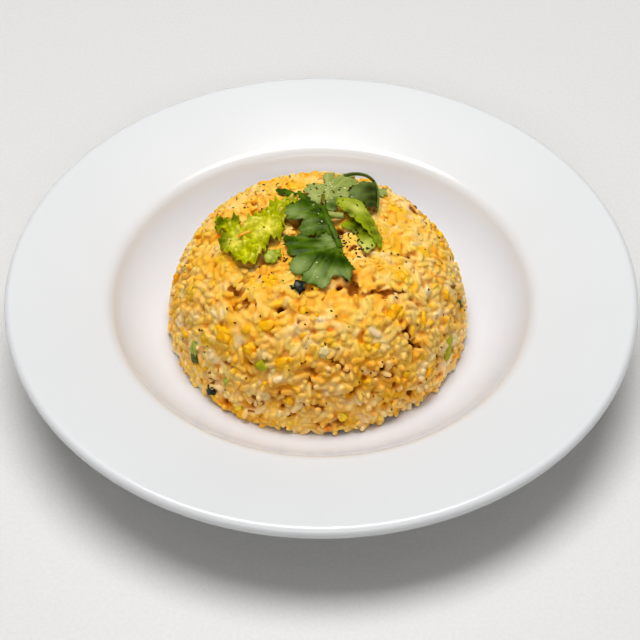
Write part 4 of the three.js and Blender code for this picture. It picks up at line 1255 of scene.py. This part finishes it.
def leaf_sheet(bm, leaf, rng, tooth=2.4, depth=0.4, crinkle=0.0, ruffle=0.0, vein_width=0.4,
               quilt=0.35):
    """Adds one leaf to a bmesh, as a single sheet of fine triangles over the heap."""
    edge = toothed(leaf["outline"], rng, tooth, depth)
    loop = []
    for a, b in zip(edge, edge[1:] + edge[:1]):
        steps = max(1, round((b - a).length / LEAF_SPACING))
        loop.extend(a.lerp(b, k / steps) for k in range(steps))
    xs = [p.x for p in loop]
    ys = [p.y for p in loop]
    inner = []
    row = 0
    y = min(ys)
    while y < max(ys):
        x = min(xs) + (0.5 * LEAF_SPACING if row % 2 else 0)
        while x < max(xs):
            inner.append(Vector((x, y)))
            x += LEAF_SPACING
        y += ROW_SPACING
        row += 1
    ring = [(i, (i + 1) % len(loop)) for i in range(len(loop))]
    points, _, faces, _, _, _ = delaunay_2d_cdt(loop + inner, ring, [], 1, 1e-4)
    layers = {name: bm.verts.layers.float.get(name) or bm.verts.layers.float.new(name)
              for name in ("vein", "shade", "sheen")}
    border = point_tree([(spot.x, spot.y, 0) for spot in loop])
    shift = Vector((rng.uniform(0, 99), rng.uniform(0, 99), 0))
    made = {}
    for index in sorted({i for face in faces for i in face}):
        x, y = points[index]
        near = min(line_reach(line, x, y)[0] for line in leaf["veins"])
        spot = Vector((x, y, 0))
        _, place, inward = border.find(spot)
        height = heap_height(math.hypot(x, y)) + lift_at(leaf, x, y)
        quilted = quilt * (1 - math.exp(-(near / QUILT_WIDTH) ** 2))
        height += quilted * smoothstep(inward / EDGE_WIDTH)
        height += WAVE_HEIGHT * noise.noise(spot / WAVE_SIZE + shift)
        valley, ridge = 0.0, 0.0
        if crinkle:
            coarse, fine = (abs(noise.noise(spot / size + shift)) for size in CRINKLE_SIZES)
            folds = coarse + 0.4 * fine
            height += crinkle * folds
            # Painted shade in the crinkles' valleys and a painted highlight on their ridges.
            valley = 0.5 * (1 - smoothstep(folds / VALLEY_START))
            ridge = 0.65 * smoothstep((folds - RIDGE_START) / RIDGE_RISE)
        if ruffle:
            wave = math.sin(place * LEAF_SPACING * math.tau / RUFFLE_LENGTH)
            height += ruffle * (0.6 + wave) * math.exp(-inward / RUFFLE_WIDTH)
        # Along a fold's crease the blade gets painted shade.
        crease = 0.0
        for line, rise, width in leaf.get("folds", ()):
            reach, side = line_reach(line, x, y)
            if side > 0:
                height += rise * math.exp(-(reach / width) ** 2) * smoothstep(reach / 0.5)
            crease = max(crease, math.exp(-(reach / CREASE_WIDTH) ** 2))
        v = bm.verts.new(Vector((HEAP_X + x, y, height)) * MM)
        v[layers["vein"]] = 0.8 * math.exp(-(near / vein_width) ** 2)
        # Painted shade and a painted highlight (sheen) at this point, from creases and crinkles and
        # from the leaf's listed spots.
        painted_light = {"shade": max(crease, valley), "sheen": ridge}
        for kind in painted_light:
            for sx, sy, radius, strength in leaf.get(kind, ()):
                dose = strength * math.exp(-(math.hypot(x - sx, y - sy) / radius) ** 2)
                painted_light[kind] = max(painted_light[kind], dose)
        v[layers["shade"]] = painted_light["shade"]
        v[layers["sheen"]] = painted_light["sheen"] * (1 - painted_light["shade"])
        made[index] = v
    for face in faces:
        corners = [made[i] for i in face]
        if len(set(corners)) > 2:
            f = bm.faces.new(corners)
            if (corners[1].co - corners[0].co).cross(corners[2].co - corners[0].co).z < 0:
                f.normal_flip()


def thickened(bm, thickness):
    """Gives a sheet both faces and an edge."""
    bmesh.ops.recalc_face_normals(bm, faces=bm.faces)
    up = sum((f.normal.z * f.calc_area() for f in bm.faces), 0.0)
    if up < 0:
        bmesh.ops.reverse_faces(bm, faces=bm.faces)
    bmesh.ops.solidify(bm, geom=bm.faces, thickness=thickness * MM)
    return bm


def stalk(bm, route, width, height, sides=10, taper=1.0, rough=0.0):
    """Adds a stalk along points (x, y, lift of its underside), smoothed between them."""
    places = [Vector((HEAP_X + x, y, heap_height(math.hypot(x, y)) + LEAF_CLEARANCE + lift
                      + height / 2)) for x, y, lift in route]
    line = []
    for i in range(len(places) - 1):
        a, b = places[i], places[i + 1]
        before = places[max(i - 1, 0)]
        after = places[min(i + 2, len(places) - 1)]
        for k in range(STALK_STEPS):
            t = k / STALK_STEPS
            line.append(0.5 * (2 * a + (b - before) * t + (2 * before - 5 * a + 4 * b - after) * t * t
                               + (3 * a - before - 3 * b + after) * t ** 3))
    line.append(places[-1])
    rings = []
    for i, spot in enumerate(line):
        along = (line[min(i + 1, len(line) - 1)] - line[max(i - 1, 0)]).normalized()
        across = along.cross(Vector((0, 0, 1))).normalized()
        up = across.cross(along)
        share = 1 + (taper - 1) * i / (len(line) - 1)
        turn = Matrix((across, up, -along)).transposed().to_4x4()
        size = Matrix.Diagonal((width / 2 * share * MM, height / 2 * share * MM, 1, 1))
        ring = bmesh.ops.create_circle(bm, segments=sides, radius=1,
                                       matrix=Matrix.Translation(spot * MM) @ turn @ size)["verts"]
        for v in ring:
            grow = 1 + rough * noise.noise(v.co / MM / 1.3)
            v.co = spot * MM + (v.co - spot * MM) * grow
        edges = list({edge for v in ring for edge in v.link_edges})
        if rings:
            bmesh.ops.bridge_loops(bm, edges=rings[-1] + edges)
        rings.append(edges)
    for ends in (rings[0], rings[-1]):
        bmesh.ops.edgeloop_fill(bm, edges=ends)


def leaf_piece(name, parts, material, slot, node, thickness=LEAF_THICKNESS, **shape):
    """A piece made of leaf sheets, and its stalk if it has one."""
    rng = random.Random(name)
    bm = bmesh.new()
    for part in parts:
        leaf_sheet(bm, LEAVES[part], rng, **shape)
    bm = thickened(bm, thickness)
    if name in STALKS:
        stalk(bm, **STALKS[name])
    return piece(name, mesh_from(bm), material, slot, node)


def make_garnish():
    """The leaves, stems and the shred of carrot on top."""
    coriander = fresh_leaf("coriander_leaf", ("#465E0A", "#5C7816"), "#6A8414", "#283E00",
                           "#8E9E5C")
    underside = fresh_leaf("coriander_underside", ("#8C984E", "#A4AC64"), "#B0B870", "#46601E",
                           "#B8BC7C", 0.5)
    dark = fresh_leaf("coriander_dark", ("#5C6E32", "#707F40"), "#64763A", "#30380C", "#84925A",
                      0.4)
    black = fresh_leaf("wilted_scrap", ("#10140A", "#1A200C"), "#181E0C", "#080C04", "#70786C",
                       0.3)
    yellow = fresh_leaf("young_leaf", ("#AEB000", "#CCC800"), "#D8D20C", "#5C6A00", "#F4E474",
                        0.36)
    bright = fresh_leaf("celery_leaf", ("#8A980A", "#9CA814"), "#A8B23A", "#465000", "#C8CA6C",
                        0.36)
    pale = fresh_leaf("pale_stalk", ("#96A04C", "#A8B064"), "#B4B878", "#6C7830", "#CCD09A", 0.35)
    brown = fresh_leaf("brown_stalk", ("#666010", "#7E7622"), "#807832", "#4E480C", "#8C8444", 0.4)

    made = [
        leaf_piece("coriander_front", ("front_upper", "front_lower"), coriander, "coriander",
                   "coriander_leaf_front", tooth=1.9, depth=0.7, quilt=0.5),
        leaf_piece("coriander_back", ("back",), underside, "coriander_underside",
                   "coriander_leaf_back", tooth=2.0, depth=0.6),
        leaf_piece("coriander_curled", ("curled_face",), dark, "coriander", "coriander_leaf_curled"),
        leaf_piece("coriander_leaflet", ("small",), coriander, "coriander",
                   "coriander_leaflet_small"),
        leaf_piece("coriander_far", ("far",), underside, "coriander_underside",
                   "coriander_tip_far"),
        leaf_piece("frilly_green", ("frilly",), yellow, "yellow_green_leaf", "frilly_leaf", 0.3,
                   tooth=1.9, depth=0.9, crinkle=4.0, ruffle=1.4, vein_width=0.5),
        leaf_piece("folded_green", ("folded_upper", "folded_lower"), bright, "bright_green_leaf",
                   "folded_leaf", 0.45, vein_width=0.5),
        leaf_piece("pale_leaf_bit", ("pale_bit",), bright, "stem", "leaf_bit_pale", tooth=1.3,
                   crinkle=1.2),
        leaf_piece("dark_leaf_scrap", ("scrap",), black, "coriander", "leaf_scrap_dark",
                   crinkle=1.0),
    ]
    shred = soft_food("carrot_shred_flesh", [(0.4, "#E89A1E"), (0.6, "#F4B040")], 2)
    for name, material, slot, node in (("cut_stem", pale, "stem", "stem_cut"),
                                       ("brown_stem", brown, "brown_stem", "stem_brown"),
                                       ("carrot_strip", shred, "carrot", "carrot_shred")):
        bm = bmesh.new()
        stalk(bm, **STALKS[name])
        made.append(piece(name, mesh_from(bm), material, slot, node))
    return made


# ------------------------------------------------------------------ pepper over everything

# Where the pepper lies thick, in plan from the heap's axis: x, y, spread and number of grains.
PEPPER = [(12.5, -3.5, 3.0, 26), (15.5, -10, 3.4, 18), (23, -13, 4.5, 12), (4.3, 28, 6, 20),
          (-24, -11, 2.0, 6), (-13.6, -15, 2.6, 9), (-30, 27, 7, 14), (-21, -22, 3.0, 7),
          (8, 9, 3.5, 8), (27, 8, 8, 10), (-20, 36, 8, 10)]
# Pale specks: seasoning on the back leaf, and a few on the front leaf that stand in for its whitish
# highlights, a painted highlight.
PALE_GRIT_AND_GLINTS = [(4.3, 27, 5.5, 34), (-2, -26, 3.5, 6), (0, 8, 5, 5)]


def strewn(name, tree, rng, heaps, size, material, count=0):
    """Grit fallen on whatever lies on top, in heaps in plan and scattered over the whole face."""
    shapes = [lump_shape(rng, 0.9, 1) for _ in range(5)]
    spots = []
    for x, y, spread, number in heaps:
        spots += [(rng.gauss(x, spread), rng.gauss(y, spread)) for _ in range(number)]
    rays = [(Vector((HEAP_X + x, y, 90)), Vector((0, 0, -1))) for x, y in spots
            if math.hypot(x, y) < HEAP_RADIUS - 8]
    heights = even_heights(count, FLOOR_HEIGHT + 2) if count else []
    for height in heights:
        point, normal = heap_face(rng.uniform(0, math.tau), height)
        rays.append((Vector(point + normal * 12) + Vector(HEAP_AXIS), -Vector(normal)))
    places = []
    for start, way in rays:
        spot, normal, _, _ = tree.ray_cast(start, way, 100)
        if spot is None:
            continue
        if normal.dot(way) > 0:
            normal = -normal
        places.append(grit_place(rng, spot, normal, normal, size, 2.2, 0.2))
    piece(name, joined(shapes, places)[0], material, "coriander")


def make_pepper(objects):
    """Pepper and pale seasoning over the rice and the leaves, with pale specks on the front leaf as
    painted highlights.
    """
    tree = surface_tree(objects)
    strewn("pepper_grit", tree, random.Random(23), PEPPER, (0.35, 1.0), cracked_pepper(), 170)
    pale = soft_food("pale_seasoning_and_glints", [(0.4, "#E6DC98"), (0.6, "#F4EEC4")], 2)
    strewn("pale_grit_and_glints", tree, random.Random(29), PALE_GRIT_AND_GLINTS, (0.4, 0.8), pale)


# ------------------------------------------------------------------ stage, light and camera

def make_stage():
    """A plain table that the plate stands on."""
    bm = bmesh.new()
    bmesh.ops.create_grid(bm, x_segments=1, y_segments=1, size=TABLE_REACH)
    floor = placed("table", mesh_from(bm, "table"))
    floor.data.materials.append(table_top())


def looking(name, data, place, way):
    """Puts a light or the camera in the scene, looking one way."""
    obj = placed(name, data)
    obj.location = place
    obj.rotation_euler = way.to_track_quat("-Z", "Y").to_euler()
    return obj


def make_light():
    """Soft white area lights, aimed at the plate, and a faint white glow all round."""
    for name, (place, size, watts) in SOFTBOXES.items():
        data = bpy.data.lights.new(name, "AREA")
        data.shape = "ELLIPSE"
        data.size, data.size_y = size
        data.energy = watts
        looking(name, data, place, -Vector(place))
    world = bpy.data.worlds.new("studio")
    world.use_nodes = True
    sky = world.node_tree.nodes["Background"]
    sky.inputs["Color"].default_value = linear("#FFFFFF")
    sky.inputs["Strength"].default_value = STUDIO_GLOW
    bpy.context.scene.world = world
    bpy.context.scene.view_settings.view_transform = "Standard"
    bpy.context.scene.view_settings.look = "Medium High Contrast"


def make_camera():
    """A camera in front of the plate, looking down at the heap."""
    data = bpy.data.cameras.new("camera")
    data.lens = CAMERA_LENS
    data.sensor_width = CAMERA_SENSOR
    back = Vector((0, -math.cos(CAMERA_ELEVATION), math.sin(CAMERA_ELEVATION)))
    place = CAMERA_TARGET + back * CAMERA_DISTANCE
    bpy.context.scene.camera = looking("camera", data, place, -back)


make_camera()
make_light()
make_stage()
make_plate()
rice_objects = make_rice()
egg_material = make_pieces()
make_crumbs(rice_objects, egg_material)
make_pepper(rice_objects + make_garnish())
